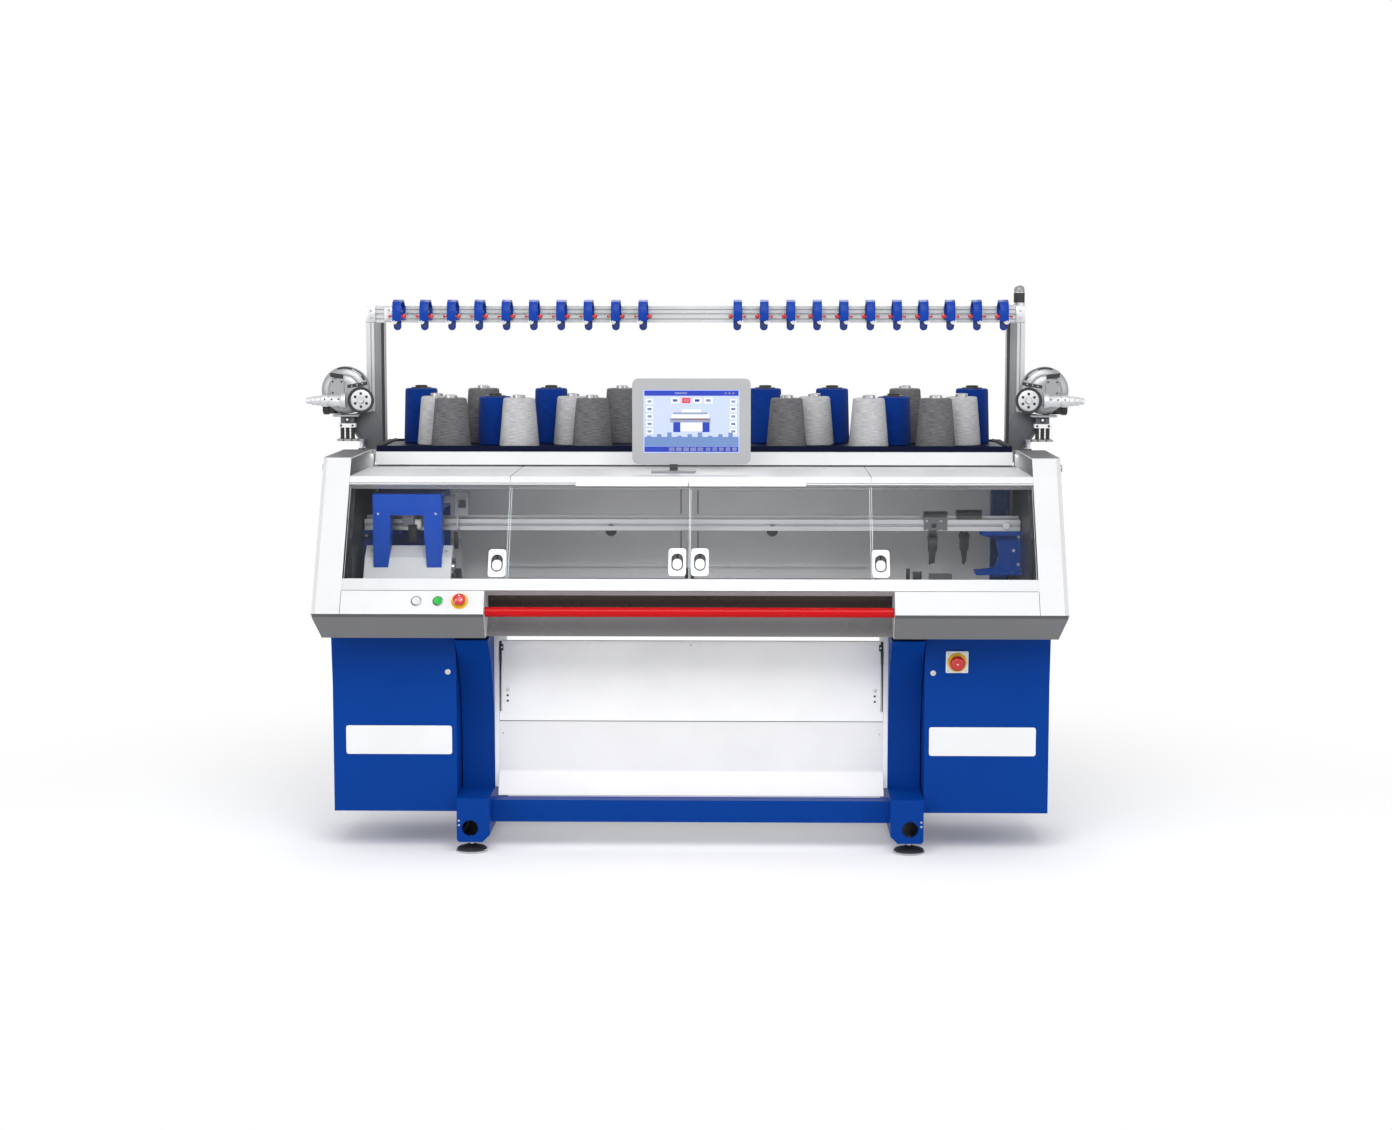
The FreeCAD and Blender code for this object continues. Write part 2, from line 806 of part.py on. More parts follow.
# Levelling feet: a broad pad, a threaded stem and a lock nut under the foot beam.
leveller = turned("leveller", [
    ("0", "0"),
    ("pad_radius", "0"),
    ("pad_radius", "pad_height"),
    ("stem_radius * 1.8", "pad_height * 2"),
    ("stem_radius", "pad_height * 2"),
    ("stem_radius", "foot_bottom - nut_height"),
    ("nut_radius", "foot_bottom - nut_height"),
    ("nut_radius", "foot_bottom"),
    ("stem_radius", "foot_bottom"),
    ("stem_radius", "stem_top"),
    ("0", "stem_top"),
])
parts.append(group("levelling_feet", [
    copy_of(leveller, f"leveller_{side}_{end}", f"{sign} * (foot_inner + foot_hole_inset)", y)
    for side, sign in SIDES
    for end, y in (("front", "pad_inset"), ("rear", "foot_length - pad_inset"))]))


def crossbar(label, front):
    """Square tube welded between the two foot beams."""
    x = ("-foot_inner", "foot_inner")
    tube = bar(label, [
        (front, "bar_bottom"),
        (f"{front} + bar_depth", "bar_bottom"),
        (f"{front} + bar_depth", "bar_bottom + bar_height"),
        (front, "bar_bottom + bar_height"),
    ], x)
    pocket(tube, "YZ_Plane", [
        (f"{front} + bar_wall", "bar_bottom + bar_wall"),
        (f"{front} + bar_depth - bar_wall", "bar_bottom + bar_wall"),
        (f"{front} + bar_depth - bar_wall", "bar_bottom + bar_height - bar_wall"),
        (f"{front} + bar_wall", "bar_bottom + bar_height - bar_wall"),
    ], "4 * foot_inner", both_ways=True)
    return tube


parts.append(group("crossbars", [crossbar("crossbar_front", "bar_front_y"),
                                 crossbar("crossbar_rear", "rear_bar_y")]))

# ---------------------------------------------------------------- cabinets and their doors

cabinets = []
SHELL_FRONT = "cabinet_front_y + door_depth + fit_gap"
for side, sign in SIDES:
    x = span(sign, "cabinet_inner", "cabinet_outer")
    cabinet = bar(f"cabinet_{side}", [
        (SHELL_FRONT, "cabinet_bottom"),
        (SHELL_FRONT, "cabinet_door_fold"),
        (f"{SHELL_FRONT} - cabinet_door_lean", "base_level"),
        ("cover_back", "base_level"),
        ("cover_back", "cabinet_bottom"),
    ], x)
    hollow(cabinet, "sheet_wall",
           lambda face: face.CenterOfMass.y < value(f"{SHELL_FRONT} + fit_gap"))
    cabinets.append(cabinet)

    door = bar(f"cabinet_door_{side}", [
        ("cabinet_front_y", "cabinet_bottom + cabinet_door_gap"),
        ("cabinet_front_y", "cabinet_door_fold"),
        ("cabinet_front_y - cabinet_door_lean", "base_level - cabinet_door_gap"),
        ("cabinet_front_y - cabinet_door_lean + door_depth", "base_level - cabinet_door_gap"),
        ("cabinet_front_y + door_depth", "cabinet_door_fold"),
        ("cabinet_front_y + door_depth", "cabinet_bottom + cabinet_door_gap"),
    ], x)
    hollow(door, "sheet_wall",
           lambda face: face.normalAt(0, 0).y > 0.9
           and face.CenterOfMass.y
           > value("cabinet_front_y - cabinet_door_lean / 2 + door_depth - fit_gap"))
    if side == "right":
        drill(door, "XZ_Plane", "switch_x", "switch_z", "stop_stem + switch_hole_gap",
              "8 * sheet_wall", offset="cabinet_door_lean / 2 - cabinet_front_y", both_ways=True)
    parts.append(door)
parts.append(group("cabinets", cabinets))

# Main switch on the leaning upper part of the right cabinet door.
SWITCH_LEAN = "atan(cabinet_door_lean / (base_level - cabinet_door_gap - cabinet_door_fold))"
SWITCH_Y = ("cabinet_front_y - cabinet_door_lean * (switch_z - cabinet_door_fold)"
            " / (base_level - cabinet_door_gap - cabinet_door_fold)")
switch_plate = new_body("switch_plate", "switch_x", SWITCH_Y, "switch_z", (1, 0, 0),
                        f"90 deg + {SWITCH_LEAN}")
pad(switch_plate, "XY_Plane", [
    ("-switch_plate / 2", "-switch_plate / 2"),
    ("switch_plate / 2", "-switch_plate / 2"),
    ("switch_plate / 2", "switch_plate / 2"),
    ("-switch_plate / 2", "switch_plate / 2"),
], "switch_plate_thick", offset="fit_gap")
boss(switch_plate, "XY_Plane", "0", "0", "switch_ring", "switch_ring_height",
     offset="fit_gap + switch_plate_thick")
drill(switch_plate, "XY_Plane", "0", "0", "stop_stem + running_gap",
      "4 * (switch_plate_thick + switch_ring_height)", both_ways=True)
parts.append(switch_plate)
CAP_START = "fit_gap + switch_plate_thick + switch_ring_height + button_travel * 1.25"
parts.append(turned("switch_knob", [
    ("0", "fit_gap * 2"),
    ("stop_stem", "fit_gap * 2"),
    ("stop_stem", CAP_START),
    ("switch_knob * 0.9", CAP_START),
    ("switch_knob", f"{CAP_START} + switch_knob_height * 0.2"),
    ("switch_knob", f"{CAP_START} + switch_knob_height / 2"),
    ("switch_knob * 0.6", f"{CAP_START} + switch_knob_height"),
    ("0", f"{CAP_START} + switch_knob_height"),
], "switch_x", SWITCH_Y, "switch_z", (1, 0, 0), f"90 deg + {SWITCH_LEAN}"))

# ---------------------------------------------------------------- take-down below the beds

side_plates = []
for side, sign in SIDES:
    plate = bar(f"side_plate_{side}", [
        ("panel_y", "foot_top"),
        ("plate_back", "foot_top"),
        ("plate_back", "plate_top"),
        ("panel_y", "plate_top"),
    ], span(sign, "plate_inner", "foot_inner"))
    bore_x(plate, "roller_y", "roller_z",
           "journal_radius + running_gap", f"{sign} * foot_inner", "foot_width")
    bore_x(plate, "press_y", "roller_z",
           "journal_radius + running_gap", f"{sign} * foot_inner", "foot_width")
    side_plates.append(plate)
parts.append(group("takedown_side_plates", side_plates))

lower_panel = bar("lower_panel", [
    ("panel_y", "panel_split"),
    ("panel_y", "chute_bend"),
    ("chute_toe_y", "chute_toe_z"),
    ("chute_toe_y + sheet_wall * 0.8", "chute_toe_z - sheet_wall * 0.6"),
    ("panel_y + sheet_wall", "chute_bend - sheet_wall * 0.4"),
    ("panel_y + sheet_wall", "panel_split"),
], ("fit_gap - plate_inner", "plate_inner - fit_gap"))
round_edges(lower_panel, "panel_return", lambda edge: runs_along(edge, (1, 0, 0))
            and abs(edge.CenterOfMass.z - value("chute_bend")) < value("sheet_wall"))
parts.append(lower_panel)

upper_panel = new_body("upper_panel")
pad(upper_panel, "XZ_Plane", [
    ("-panel_half", "panel_split + panel_gap"),
    ("panel_half", "panel_split + panel_gap"),
    ("panel_half", "panel_slot_bottom"),
    ("panel_half - panel_slot", "panel_slot_bottom"),
    ("panel_half - panel_slot", "panel_top"),
    ("panel_slot - panel_half", "panel_top"),
    ("panel_slot - panel_half", "panel_slot_bottom"),
    ("-panel_half", "panel_slot_bottom"),
], "panel_return", offset="-panel_y", reverse=True)
hollow(upper_panel, "sheet_wall",
       lambda face: near(face.CenterOfMass.y, "panel_y + panel_return"))
parts.append(upper_panel)


def roller(label, radius, y):
    """A long roller with a journal turned on each end."""
    reach = "plate_inner - roller_end_gap"
    return turned(label, [
        ("0", "-foot_inner"),
        ("journal_radius", "-foot_inner"),
        ("journal_radius", f"-({reach})"),
        (radius, f"-({reach})"),
        (radius, reach),
        ("journal_radius", reach),
        ("journal_radius", "foot_inner"),
        ("0", "foot_inner"),
    ], "0", y, "roller_z", (0, 1, 0), "90")


parts.append(roller("takedown_roller", "roller_radius", "roller_y"))
parts.append(roller("press_roller", "press_radius", "press_y"))

# ---------------------------------------------------------------- beds, guide rails

WHOLE_BED = ("-bed_half_length", "bed_half_length")
APEX_Z = "bed_foot_z + (gap_line - bed_apex_half - bed_foot_y) * tan(bed_angle)"
support = [
    ("bed_front_y", "base_level"),
    ("gap_line - bed_slot_half", "base_level"),
    ("gap_line - bed_slot_half", APEX_Z),
    ("gap_line - bed_apex_half", APEX_Z),
    ("bed_foot_y", "bed_foot_z"),
    ("bed_front_y", "bed_foot_z"),
]
parts.append(group("bed_supports", [bar("bed_support_front", support, WHOLE_BED),
                                    bar("bed_support_rear", behind(support), WHOLE_BED)]))

TIP_LOW = "bed_foot_z + (gap_line - bed_gap_half - bed_foot_y) * tan(bed_angle)"
TIP_TOP = f"{TIP_LOW} + bed_tip_height"
TIP_BACK = (f"bed_foot_y + ({TIP_TOP} - bed_foot_z - bed_thick / cos(bed_angle))"
            " / tan(bed_angle)")
needle_bed = [
    slope_point("bed_start", "0"),
    ("gap_line - bed_gap_half", TIP_LOW),
    ("gap_line - bed_gap_half", TIP_TOP),
    (TIP_BACK, TIP_TOP),
    slope_point("bed_start", "bed_thick"),
]
parts.append(group("needle_beds", [
    bar("needle_bed_front", needle_bed, ("-needle_half", "needle_half")),
    bar("needle_bed_rear", behind(needle_bed), ("-needle_half", "needle_half"))]))

guide = [
    ("bed_front_y + guide_inset", "bed_foot_z"),
    ("bed_front_y + guide_inset + guide_width", "bed_foot_z"),
    ("bed_front_y + guide_inset + guide_width", "bed_foot_z + guide_height"),
    ("bed_front_y + guide_inset", "bed_foot_z + guide_height"),
]
parts.append(group("guide_rails", [bar("guide_rail_front", guide, WHOLE_BED),
                                   bar("guide_rail_rear", behind(guide), WHOLE_BED)]))

# ---------------------------------------------------------------- end frames inside the housing

end_frames = []
for side, sign in SIDES:
    end_frames.append(bar(f"end_plate_{side}", [
        ("fascia_seat", "base_level"),
        ("fascia_seat", "base_level + fascia_foot"),
        ("fascia_back", "base_level + fascia_foot"),
        ("fascia_back", face_height("fascia_back", "sill_depth")),
        (face_reach("roof_level", "sill_depth"), "roof_level"),
        ("wall_y", "roof_level"),
        ("wall_y", "base_level"),
    ], span(sign, "bed_half_length", "cover_inner")))
    end_frames.append(block(f"rear_post_{side}",
                            span(sign, "bed_half_length - post_inset",
                                 "bed_half_length - post_inset + post_width"),
                            ("wall_y - post_depth", "wall_y"), ("base_level", "roof_level")))
parts.append(group("end_frames", end_frames))

# ---------------------------------------------------------------- front fascias and recess

fascias = {}
for side, sign in SIDES:
    fascia = bar(f"fascia_{side}_shell", [
        face_point("0", "0"),
        ("fold_y + undercut", "base_level"),
        ("fascia_seat", "base_level"),
        ("fascia_seat", "base_level + fascia_foot"),
        ("fascia_back", "base_level + fascia_foot"),
        ("fascia_back", face_point("fascia_rise", "sill_depth")[1]),
        face_point("fascia_rise", "sill_depth"),
        face_point("fascia_rise", "0"),
    ], span(sign, "fascia_inner", "cover_inner"))
    top = face_point("fascia_rise - sheet_wall", "sill_depth")
    pocket(fascia, "YZ_Plane", [
        ("fold_y + sheet_wall * 1.15", "fold_z"),
        ("fold_y + sheet_wall * 1.15 + undercut * (fold_z - base_level - fascia_foot)"
         " / (fold_z - base_level)", "base_level + fascia_foot"),
        ("fascia_seat", "base_level + fascia_foot"),
        ("fascia_seat", top[1]),
        top,
        face_point("fascia_rise - sheet_wall", "sheet_wall"),
    ], "cover_inner - fascia_inner - 2 * sheet_wall",
        offset=f"{sign} * (cover_inner + fascia_inner) / 2", both_ways=True)
    bore_x(fascia, "rail_y", "rail_z", "rail_radius + running_gap",
           f"{sign} * fascia_inner", "4 * sheet_wall")
    fascias[side] = fascia

# Three buttons on the left fascia: start, reset and stop, each in its own bezel.
OUTWARD = ((1, 0, 0), "90 - face_lean")
BUTTON_Y, BUTTON_Z = face_point("button_rise", "0")
NECK = "button_radius * 1.1"
holes = []
bezels = []
for index, name in enumerate(("white", "green", "stop")):
    x = f"-(fascia_inner + button_first - {index} * button_pitch)"
    hole = doc.addObject("Part::Cylinder", f"{name}_hole")
    bind(hole, "Radius", f"{NECK} + running_gap")
    bind(hole, "Height", "8 * sheet_wall")
    shift = "4 * sheet_wall"
    place(hole, x, f"{BUTTON_Y} + ({shift}) * cos(face_lean)",
          f"{BUTTON_Z} - ({shift}) * sin(face_lean)", *OUTWARD)
    holes.append(hole)
    ring = "button_bezel" if name != "stop" else "stop_bezel"
    inner = "button_radius + fit_gap" if name != "stop" else "stop_stem + fit_gap"
    bezels.append(turned(f"{name}_bezel", [
        (inner, "-3 * sheet_wall"),
        (NECK, "-3 * sheet_wall"),
        (NECK, "0"),
        (ring, "0"),
        (ring, "button_bezel_height * 0.7"),
        (f"{ring} * 0.92", "button_bezel_height"),
        (inner, "button_bezel_height"),
    ], x, BUTTON_Y, BUTTON_Z, *OUTWARD))
    if name == "stop":
        parts.append(turned("stop_button", [
            ("0", "-3 * sheet_wall"),
            ("stop_stem", "-3 * sheet_wall"),
            ("stop_stem", "stop_height / 2"),
            ("stop_radius * 0.9", "stop_height / 2"),
            ("stop_radius", "stop_height * 0.62"),
            ("stop_radius", "stop_height * 0.8"),
            ("stop_radius * 0.6", "stop_height"),
            ("0", "stop_height"),
        ], x, BUTTON_Y, BUTTON_Z, *OUTWARD))
    else:
        parts.append(turned(f"{name}_button", [
            ("0", "-2 * sheet_wall"),
            ("button_radius", "-2 * sheet_wall"),
            ("button_radius", "button_height * 0.9"),
            ("button_radius * 0.93", "button_height"),
            ("0", "button_height"),
        ], x, BUTTON_Y, BUTTON_Z, *OUTWARD))
parts.append(group("button_bezels", bezels))
parts.append(cut("fascia_left", fascias["left"], group("button_holes", holes)))
fascias["right"].Label = "fascia_right"
parts.append(fascias["right"])

# Curved white tray behind the operating bar.
TRAY_TOP = face_point("fascia_rise", "sill_depth")[1]
tray = bar("recess_tray", [
    ("tray_back", TRAY_TOP),
    ("tray_back", "tray_middle"),
    ("tray_foot", "base_level"),
    ("tray_foot + sheet_wall * 1.4", "base_level"),
    ("tray_back + sheet_wall", "tray_middle - sheet_wall * 0.4"),
    ("tray_back + sheet_wall", TRAY_TOP),
], ("-fascia_inner", "fascia_inner"))
round_edges(tray, "tray_round", lambda edge: runs_along(edge, (1, 0, 0))
            and abs(edge.CenterOfMass.z - value("tray_middle")) < value("sheet_wall"))
parts.append(tray)

operating_bar = doc.addObject("Part::Cylinder", "operating_bar")
operating_bar.Label = "operating_bar"
bind(operating_bar, "Radius", "rail_radius")
bind(operating_bar, "Height", "2 * (fascia_inner + rail_seat)")
place(operating_bar, "-(fascia_inner + rail_seat)", "rail_y", "rail_z", (0, 1, 0), "90")
parts.append(operating_bar)

# ---------------------------------------------------------------- window tracks and windows

BETWEEN_COVERS = ("fit_gap - cover_inner", "cover_inner - fit_gap")
SILL_TOP = "fascia_rise + sill_rise"


def grooves(mouth, floor):
    """The two window grooves of a track, as steps in its outline."""
    steps = []
    for track in ("track_outer", "track_inner"):
        steps += [face_point(mouth, track), face_point(floor, track),
                  face_point(floor, f"{track} + track_width"),
                  face_point(mouth, f"{track} + track_width")]
    return steps


parts.append(bar("sill", [face_point("fascia_rise", "0"), face_point(SILL_TOP, "0")]
                 + grooves(SILL_TOP, f"{SILL_TOP} - track_sink")
                 + [face_point(SILL_TOP, "sill_depth"), face_point("fascia_rise", "sill_depth")],
                 BETWEEN_COVERS))

TRACK_SKIN = "roof_thick + fit_gap"
parts.append(bar("upper_track", [
    (face_reach("roof_level", TRACK_SKIN), "roof_level"),
    face_point("upper_rise", TRACK_SKIN)]
    + grooves("upper_rise", "upper_rise + track_lip")
    + [face_point("upper_rise", "sill_depth"),
       (face_reach("roof_level", "sill_depth"), "roof_level")], BETWEEN_COVERS))

WINDOW_LOW = f"{SILL_TOP} - track_sink + running_gap"
WINDOW_HIGH = "upper_rise + track_lip - running_gap * 20"
for side, sign in SIDES:
    for name, track, inner, outer in (
            ("outer", "track_inner", "window_split - window_overlap", "cover_inner - 2"),
            ("inner", "track_outer", "window_centre_gap / 2", "window_split")):
        window = new_body(f"window_{name}_{side}", "0", "fold_y", "fold_z", (1, 0, 0),
                          "-face_lean")
        front = f"{track} + (track_width - glass_thick) / 2"
        pad(window, "XZ_Plane", sided(sign, [
            (inner, WINDOW_LOW),
            (outer, WINDOW_LOW),
            (outer, WINDOW_HIGH),
            (inner, WINDOW_HIGH),
        ]), "glass_thick", offset=f"-({front})", reverse=True)
        low = f"{SILL_TOP} + handle_rise"
        grip_x = f"{inner} + handle_edge + handle_width / 2"
        pad(window, "XZ_Plane", sided(sign, [
            (f"{inner} + handle_edge", low),
            (f"{inner} + handle_edge + handle_width", low),
            (f"{inner} + handle_edge + handle_width", f"{low} + handle_height"),
            (f"{inner} + handle_edge", f"{low} + handle_height"),
        ]), "handle_thick", offset=f"-({front})")
        sketch = add_slot(new_sketch(window, "XZ_Plane", f"-({front})"), f"{sign} * ({grip_x})",
                          f"{low} + handle_height / 2", "handle_grip_width / 2",
                          "handle_grip_height / 2")
        add_feature(window, "Pocket", sketch, "handle_thick * 2", reverse=True)
        parts.append(window)

# ---------------------------------------------------------------- side covers

for side, sign in SIDES:
    x = span(sign, "cover_inner", "cover_inner + cover_width")
    outer = "cover_inner + cover_width"
    cover = bar(f"side_cover_{side}", [
        face_point("0", "0"),
        ("fold_y + undercut", "base_level"),
        ("cover_back", "base_level"),
        ("cover_back", "cover_top"),
        (face_reach("cover_top", "0"), "cover_top"),
    ], x)
    round_edges(cover, "cover_edge", lambda edge: near(abs(edge.CenterOfMass.x), outer)
                and near(edge.CenterOfMass.z, "(fold_z + cover_top) / 2")
                and edge.CenterOfMass.y < value("wall_y / 2"), "Chamfer")
    pocket(cover, "XZ_Plane", sided(sign, [
        (outer, "fold_z"),
        (f"{outer} + cover_edge", "fold_z"),
        (f"{outer} + cover_edge", "base_level - cover_edge"),
        (f"{outer} - cover_taper", "base_level - cover_edge"),
        (f"{outer} - cover_taper", "base_level"),
    ]), "4 * cover_back", both_ways=True)
    hollow(cover, "cover_wall", lambda face: near(abs(face.CenterOfMass.x), "cover_inner"))
    bore_x(cover, "latch_y", "latch_z", "journal_radius + running_gap",
           f"{sign} * ({outer})", "4 * cover_wall")
    parts.append(cover)
    parts.append(turned(f"side_latch_{side}", [
        ("0", "-3 * cover_wall"),
        ("journal_radius", "-3 * cover_wall"),
        ("journal_radius", "fit_gap"),
        ("journal_radius + latch_rim", "fit_gap"),
        ("journal_radius + latch_rim", "latch_height * 0.8"),
        ("journal_radius + latch_rim / 2", "latch_height"),
        ("0", "latch_height"),
    ], f"{sign} * ({outer})", "latch_y", "latch_z", (0, 1, 0), f"{sign} * 90"))

# ---------------------------------------------------------------- roof and rear

roof = [
    (face_reach("roof_top", "0"), "roof_top"),
    face_point("roof_lip", "0"),
    face_point("roof_lip", "roof_thick"),
    (face_reach("roof_level", "roof_thick"), "roof_level"),
    ("roof_back", "roof_level"),
    ("roof_back", "roof_top"),
]
parts.append(group("roof_panels", [
    bar("roof_left", roof, ("fit_gap - cover_inner", "-roof_joint")),
    bar("roof_middle", roof, ("roof_seam - roof_joint", "roof_joint - roof_seam")),
    bar("roof_right", roof, ("roof_joint", "cover_inner - fit_gap"))]))

parts.append(block("back_panel", ("-cover_inner", "cover_inner"), ("wall_y", "cover_back"),
                   ("base_level", "roof_level")))

rear_cover = bar("rear_cover", [
    ("cover_back", "base_level"),
    ("cover_back + rear_foot", "base_level"),
    ("roof_back", "base_level + rear_bevel"),
    ("roof_back", "roof_level"),
    ("cover_back", "roof_level"),
], ("-cover_inner", "cover_inner"))
hollow(rear_cover, "sheet_wall", lambda face: near(face.CenterOfMass.y, "cover_back"))
parts.append(rear_cover)

# ---------------------------------------------------------------- yarn table and uprights

apron = bar("apron", [
    ("wall_y", "apron_bottom"),
    ("wall_y + apron_depth", "apron_bottom"),
    ("wall_y + apron_depth", "apron_top"),
    ("wall_y", "apron_top"),
], ("-table_half", "table_half"))
hollow(apron, "sheet_wall", lambda face: near(face.CenterOfMass.z, "apron_bottom")
       or near(face.CenterOfMass.y, "wall_y + apron_depth"))
parts.append(apron)

table = new_body("yarn_table")
pad(table, "XY_Plane", [
    ("-table_half", "table_front"),
    ("table_half", "table_front"),
    ("table_half", "table_back"),
    ("-table_half", "table_back"),
], "table_rim", offset="apron_top")
pocket(table, "XY_Plane", [
    ("sheet_wall - table_half", "table_front + sheet_wall"),
    ("table_half - sheet_wall", "table_front + sheet_wall"),
    ("table_half - sheet_wall", "table_back - sheet_wall"),
    ("sheet_wall - table_half", "table_back - sheet_wall"),
], "table_rim - table_thick", offset="apron_top + table_rim")
parts.append(table)

uprights = []
for side, sign in SIDES:
    uprights.append(block(f"table_arm_{side}", span(sign, "table_half - arm_width", "table_half"),
                          ("wall_y + apron_depth", "table_back - arm_stop"), ("roof_top", "apron_top")))
    uprights.append(block(f"upright_{side}",
                          span(sign, "upright_inner", "upright_inner + upright_width"),
                          ("upright_y", "upright_y + upright_depth"),
                          ("roof_top", "upright_top")))
parts.append(group("uprights", uprights))

beam = bar("top_beam", [
    ("beam_y", "upright_top"),
    ("beam_y + beam_depth", "upright_top"),
    ("beam_y + beam_depth", "beam_top"),
    ("beam_y", "beam_top"),
    ("beam_y", "(beam_top + upright_top + beam_groove) / 2"),
    ("beam_y + beam_groove", "(beam_top + upright_top + beam_groove) / 2"),
    ("beam_y + beam_groove", "(beam_top + upright_top - beam_groove) / 2"),
    ("beam_y", "(beam_top + upright_top - beam_groove) / 2"),
], ("-beam_half", "beam_half"))
parts.append(beam)

# Yarn brakes along the beam: an arched arm with a tension knob on each side.
arm = bar("brake_arm", [
    ("beam_y", "brake_foot"),
    ("beam_y", "beam_top"),
    ("beam_y - brake_bend - brake_strip / 2", "brake_rise"),
    ("brake_y + brake_bend", "brake_rise"),
    ("brake_y", "brake_rise - brake_bend"),
    ("brake_y", "brake_foot"),
    ("brake_y + brake_strip", "brake_foot"),
    ("brake_y + brake_strip", "brake_rise - brake_bend - brake_strip * 0.4"),
    ("brake_y + brake_bend + brake_strip * 0.4", "brake_rise - brake_strip"),
    ("beam_y - brake_bend - brake_strip", "brake_rise - brake_strip"),
    ("beam_y - brake_strip", "beam_top - brake_strip / 2"),
    ("beam_y - brake_strip", "brake_foot"),
], ("-brake_width / 2", "brake_width / 2"), master=True)
knobs = []
for side, start in (("left", "-brake_knob_reach"), ("right", "brake_width / 2")):
    knob = doc.addObject("Part::Prism", f"brake_knob_{side}")
    knob.Polygon = 10
    bind(knob, "Circumradius", "brake_knob_radius")
    bind(knob, "Height", "brake_knob_reach - brake_width / 2")
    place(knob, start, "brake_y + brake_strip / 2 + depth_centre", "brake_knob_z",
          (0, 1, 0), "90")
    knobs.append(knob)
brake = group("brake", [arm] + knobs)
brakes = [copy_of(brake, f"brake_left_{index}",
                  f"brake_left_inset - upright_inner + {index} * brake_pitch_left")
          for index in range(10)]
brakes += [copy_of(brake, f"brake_right_{index}",
                   f"upright_inner - brake_right_inset - {index} * brake_pitch_right")
           for index in range(11)]
parts.append(group("yarn_brakes", brakes))

LAMP_SEAT = "beam_top + lamp_plate_thick"
lamp_plate = block("lamp_plate", ("lamp_x + lamp_radius - lamp_plate_length",
                                  "lamp_x + lamp_radius"),
                   ("beam_y", "beam_y + beam_depth"), ("beam_top", LAMP_SEAT))
lamp = turned("lamp", [
    ("0", LAMP_SEAT),
    ("lamp_radius", LAMP_SEAT),
    ("lamp_radius", "beam_top + lamp_height * 0.5"),
    ("lamp_radius * 0.86", "beam_top + lamp_height * 0.5"),
    ("lamp_radius * 0.86", "beam_top + lamp_height * 0.85"),
    ("lamp_radius * 0.5", "beam_top + lamp_height"),
    ("0", "beam_top + lamp_height"),
], "lamp_x", "beam_y + beam_depth / 2")
parts.append(group("signal_lamp", [lamp_plate, lamp]))

# Yarn cones stand on their broad ends in three rows, loosely spread over the table:
# each number is a place across it, from -1 at its left end to 1 at its right end.
CONE_ROWS = ((-0.772, -0.555, -0.323, 0.293, 0.553, 0.765),
             (-0.831, -0.642, -0.392, 0.384, 0.638, 0.856),
             (-0.896, -0.692, -0.471, -0.239, 0.227, 0.445, 0.682, 0.9))
cone = turned("cone", [
    ("0", "0"),
    ("cone_radius", "0"),
    ("cone_top_radius", "cone_height"),
    ("cone_tube_radius", "cone_height"),
    ("cone_tube_radius", "cone_height + cone_tube_rise"),
    ("0", "cone_height + cone_tube_rise"),
])
parts.append(group("yarn_cones", [
    copy_of(cone, f"cone_{row}_{place_in_row}", f"{across} * table_half",
            f"table_front + cone_first_inset + {row} * cone_row_pitch",
            "apron_top + table_thick")
    for row, positions in enumerate(CONE_ROWS)
    for place_in_row, across in enumerate(positions)]))

# ---------------------------------------------------------------- control screen

monitor = new_body("monitor")
pad(monitor, "XZ_Plane", [
    ("-screen_half", "screen_bottom"),
    ("screen_half", "screen_bottom"),
    ("screen_half", "screen_top"),
    ("-screen_half", "screen_top"),
], "screen_depth", offset="-screen_y", reverse=True)
round_edges(monitor, "screen_round", lambda edge: runs_along(edge, (0, 1, 0)))
pocket(monitor, "XZ_Plane", [
    ("screen_bezel - screen_half", "screen_bottom + screen_bezel"),
    ("screen_half - screen_bezel", "screen_bottom + screen_bezel"),
    ("screen_half - screen_bezel", "screen_top - screen_bezel"),
    ("screen_bezel - screen_half", "screen_top - screen_bezel"),
], "2 * screen_recess", offset="-screen_y", both_ways=True)
for sign in (-1, 1):
    x = f"stand_x + {sign} * (stand_column / 2 + fit_gap + tilt_lug / 2)"
    pad(monitor, "YZ_Plane", [
        ("screen_y + screen_depth", "tilt_z - tilt_head"),
        ("tilt_y + tilt_head", "tilt_z - tilt_head"),
        ("tilt_y + tilt_head", "tilt_z + tilt_head"),
        ("screen_y + screen_depth", "tilt_z + tilt_head"),
    ], "tilt_lug", offset=x, both_ways=True)
bore_x(monitor, "tilt_y", "tilt_z", "tilt_radius + running_gap", "stand_x", "stand_column")
parts.append(monitor)

stand = new_body("monitor_stand")
pad(stand, "YZ_Plane", [
    ("tilt_y + tilt_head + stand_gap", "roof_top"),
    ("tilt_y + tilt_head + stand_gap + tilt_lug", "roof_top"),
    ("tilt_y + tilt_head + stand_gap + tilt_lug", "tilt_z + tilt_head"),
    ("tilt_y - tilt_head", "tilt_z + tilt_head"),
    ("tilt_y - tilt_head", "tilt_z - tilt_head"),
    ("tilt_y + tilt_head + stand_gap", "tilt_z - tilt_head"),
], "stand_column", offset="stand_x", both_ways=True)
pad(stand, "XY_Plane", [
    ("stand_x - stand_half", "tilt_y - stand_depth / 2"),
    ("stand_x + stand_half", "tilt_y - stand_depth / 2"),
    ("stand_x + stand_half", "tilt_y + stand_depth / 2"),
    ("stand_x - stand_half", "tilt_y + stand_depth / 2"),
], "stand_plate", offset="roof_top")
boss(stand, "YZ_Plane", "tilt_y", "tilt_z", "tilt_radius",
     "stand_column + 2 * (fit_gap + tilt_lug)", offset="stand_x", both_ways=True)
parts.append(stand)

# ---------------------------------------------------------------- carriage

